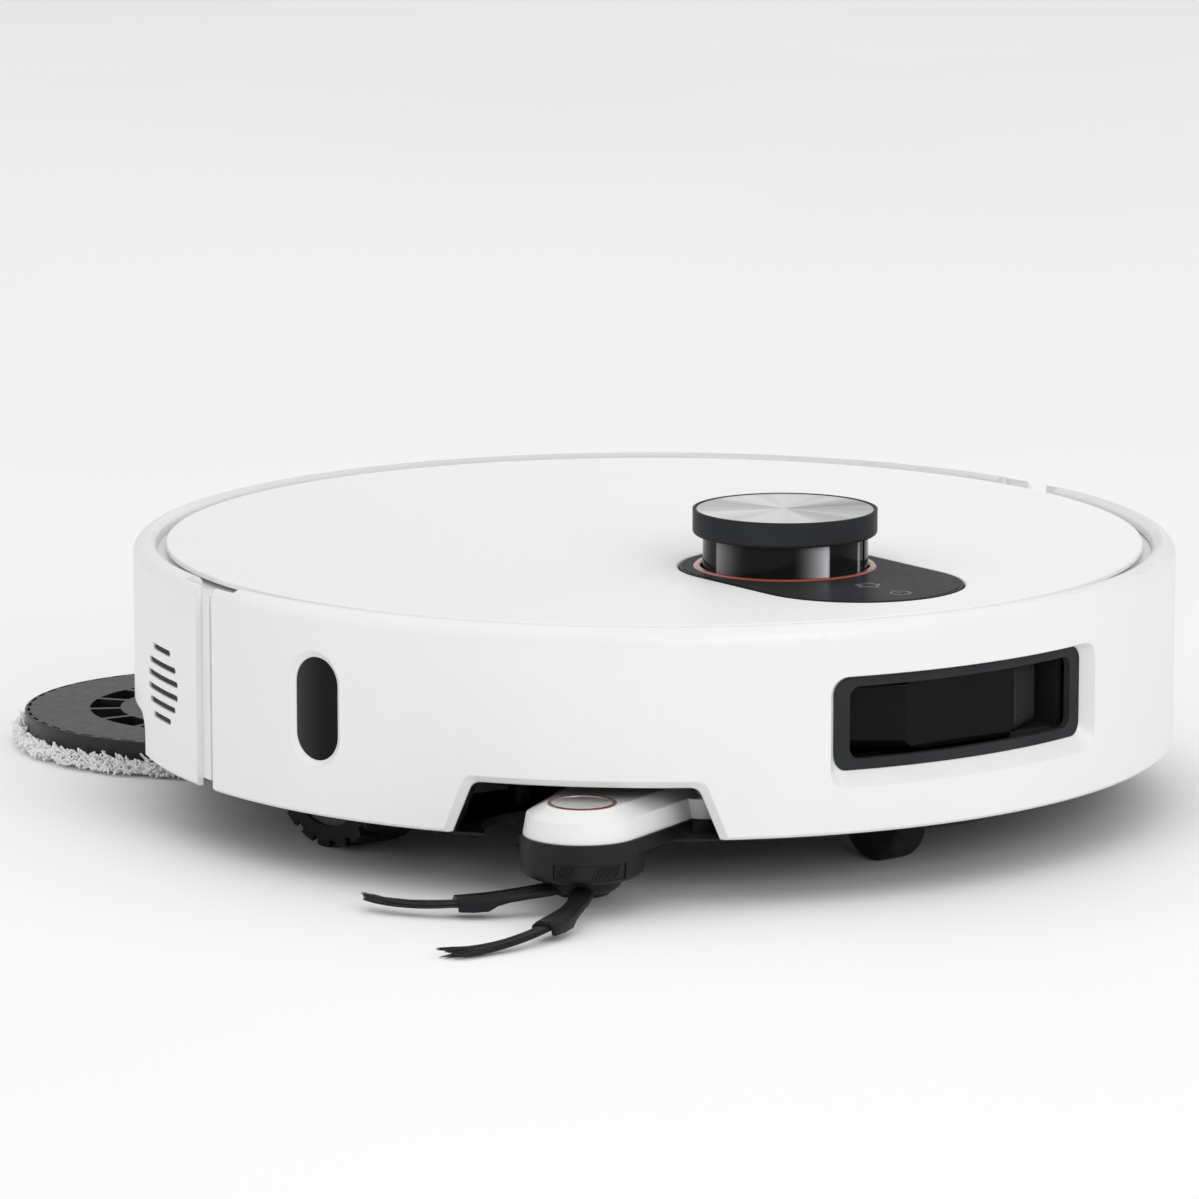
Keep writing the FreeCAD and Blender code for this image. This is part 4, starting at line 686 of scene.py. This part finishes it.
def tuft(axis, limb, seed):
    """Bristles that leave the limb as one flat bundle and end in ragged clumps."""
    random = np.random.default_rng(TUFT_SEED + seed)
    angle = random.uniform(0, math.tau, BRISTLES)
    reach = np.sqrt(random.uniform(0, 1, BRISTLES))
    u, v = reach * np.cos(angle) / 2, reach * np.sin(angle) / 2
    clump_u = (np.arange(CLUMPS) + 0.5) / CLUMPS - 0.5
    clump_v = random.uniform(-0.45, 0.45, CLUMPS)
    clump = np.clip(((u + 0.5) * CLUMPS).astype(int), 0, CLUMPS - 1)
    length = random.uniform(*BRISTLE_REACH, BRISTLES)
    length -= CLUMP_SHORTER * random.uniform(0, 1, CLUMPS)[clump]
    stations = np.array(TUFT_STATIONS)
    last = len(stations) - 1
    steps = np.linspace(0.0, 1.0, 12)
    paths = np.zeros((BRISTLES, len(steps), 3))
    for b in range(BRISTLES):
        for i, step in enumerate(steps):
            at = step * length[b] * last
            radius, height, width, thick = [np.interp(at, np.arange(last + 1), column)
                                            for column in stations.T]
            radius += max(0.0, at - last) * PAST_THE_END
            pull = CLUMP_PULL * max(0.0, (step - CLUMP_FROM) / (1.0 - CLUMP_FROM)) ** 2
            aside = ((1 - pull) * u[b] + pull * clump_u[clump[b]]) * width
            lift = ((1 - pull) * v[b] + pull * clump_v[clump[b]]) * thick
            paths[b, i] = limb_point(axis, limb, radius, aside, height + lift)
    return tubes(paths, mm(BRISTLE_R) * np.linspace(1.0, 0.6, len(steps)), BRISTLE_SIDES)


def make_side_brush(materials):
    """Rubber hub with two limbs, and a tuft of bristles in each limb."""
    axis = JOINTS["side_brush_spin"]["pos_m"]
    parts = [hub_core(axis)] + [brush_limb(axis, limb) for limb in LIMBS]
    hub = new_piece("side_brush_rubber", *joined(parts), "side_brush", "soft_rubber",
                    materials["soft_rubber"])
    soften(hub, mm(0.35), 3)
    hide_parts("side_brush_hub")
    tufts = [tuft(axis, limb, seed) for seed, limb in enumerate(LIMBS)]
    bristles = new_piece("side_brush_tufts", *joined(tufts), "side_brush", "bristle",
                         materials["bristle"])
    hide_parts("side_brush_bristles")


# ---- mop fringe -------------------------------------------------------------------------------
PAD_OUT, PAD_IN = 68.6, 46.4
STRAND_R, STRAND_SIDES = 0.50, 5
STRAND_FLOOR = STRAND_R + 0.05                  # no strand's centre line is lower
FRINGE_SEED = 70
STRAND_TAPER = (0.8, 1.0, 1.0, 1.0, 1.0, 0.95, 0.55)    # thickness at each point of a strand
CURL = 0.7
# Strands grow from a ring: count, radius and height of the root, length, spread of the heading in
# radians, rise in the middle and height of the end. A negative radius makes them point inwards.
FRINGE = (
    dict(count=1900, root_r=(66.4, 68.6), root_z=(1.4, 5.2), length=(2.5, 3.5), outward=0.55,
         rise=(-0.8, 1.0), end_z=(0.7, 6.4)),           # skirt that spills past the plate
    dict(count=380, root_r=(67.0, 68.6), root_z=(3.6, 5.4), length=(2.5, 3.5), outward=0.6,
         rise=(0.0, 1.4), end_z=(4.5, 8.5)),            # crown that stands up at its edge
    dict(count=1600, root_r=(PAD_IN + 1.0, 62.5), root_z=(0.9, 1.4), length=(5.0, 8.0), outward=3.0,
         rise=(-0.1, 0.4), end_z=(0.7, 1.0)),           # mat that meets the floor
    dict(count=475, root_r=(-47.6, -46.6), root_z=(1.4, 3.6), length=(1.6, 3.2), outward=0.9,
         rise=(0.0, 0.6), end_z=(0.8, 2.0)),            # inner edge
)


def fringe_strands(random, count, root_r, root_z, length, outward, rise, end_z):
    """Looped strands rooted on a ring about the origin, in millimetres."""
    points = len(STRAND_TAPER)
    t = np.linspace(0.0, 1.0, points)[None, :]
    azimuth = random.uniform(0, math.tau, count)[:, None]
    r0 = random.uniform(*root_r, count)[:, None]
    z0 = random.uniform(*root_z, count)[:, None]
    z1 = random.uniform(*end_z, count)[:, None]
    size = random.uniform(*length, count)[:, None]
    heading = azimuth + random.normal(0, outward, count)[:, None]
    curl = random.normal(0, CURL, count)[:, None]
    step = size / (points - 1)
    facing = heading + curl * t
    x = r0 * np.cos(azimuth) + np.cumsum(step * np.cos(facing), 1)
    y = r0 * np.sin(azimuth) + np.cumsum(step * np.sin(facing), 1)
    up = random.uniform(*rise, count)[:, None]
    z = z0 + (z1 - z0) * t ** 1.5 + up * np.sin(math.pi * t)
    return np.stack([x, y, np.maximum(z, STRAND_FLOOR)], -1)


def pad_backing():
    """Low ring of cloth that the strands grow from, with a rounded rim."""
    profile = ((PAD_IN, 1.6), (PAD_IN + 1.0, 0.7), (PAD_OUT - 1.6, 0.7), (PAD_OUT - 0.4, 1.6),
               (PAD_OUT, 3.0), (PAD_OUT - 0.4, 4.9), (PAD_OUT - 1.2, 5.4), (PAD_IN + 0.8, 5.4),
               (PAD_IN, 4.6))
    return lathe([mm(r, z) for r, z in profile], (0.0, 0.0), 144)


def make_mop_fringe(side, seed, materials):
    """Chenille ring: strands on a low cloth ring, in place of the CAD pad."""
    axis = JOINTS["mop_spin_" + side]["pos_m"]
    random = np.random.default_rng(FRINGE_SEED + seed)
    paths = np.concatenate([fringe_strands(random, **strands) for strands in FRINGE]) / 1000.0
    taper = mm(STRAND_R) * np.array(STRAND_TAPER)
    thick = random.uniform(0.8, 1.15, len(paths))[:, None] * taper[None, :]
    points, faces = tubes(paths, thick, STRAND_SIDES)
    ring, ring_faces = pad_backing()
    vertices, polygons = joined([(ring, ring_faces), (points, faces)])
    shifted = np.array(vertices) + np.array((axis[0], axis[1], 0.0))
    pad = new_piece("mop_fringe_" + side, shifted.tolist(), polygons, "mop_" + side, "mop_cloth",
                    materials["mop_cloth"])
    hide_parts("mop_pad_" + side)


def main():
    make_camera()
    make_floor()
    make_studio()
    materials = make_materials()
    dress_frame(materials)
    make_side_brush(materials)
    for seed, side in enumerate(("right", "left")):
        make_mop_fringe(side, seed, materials)


main()
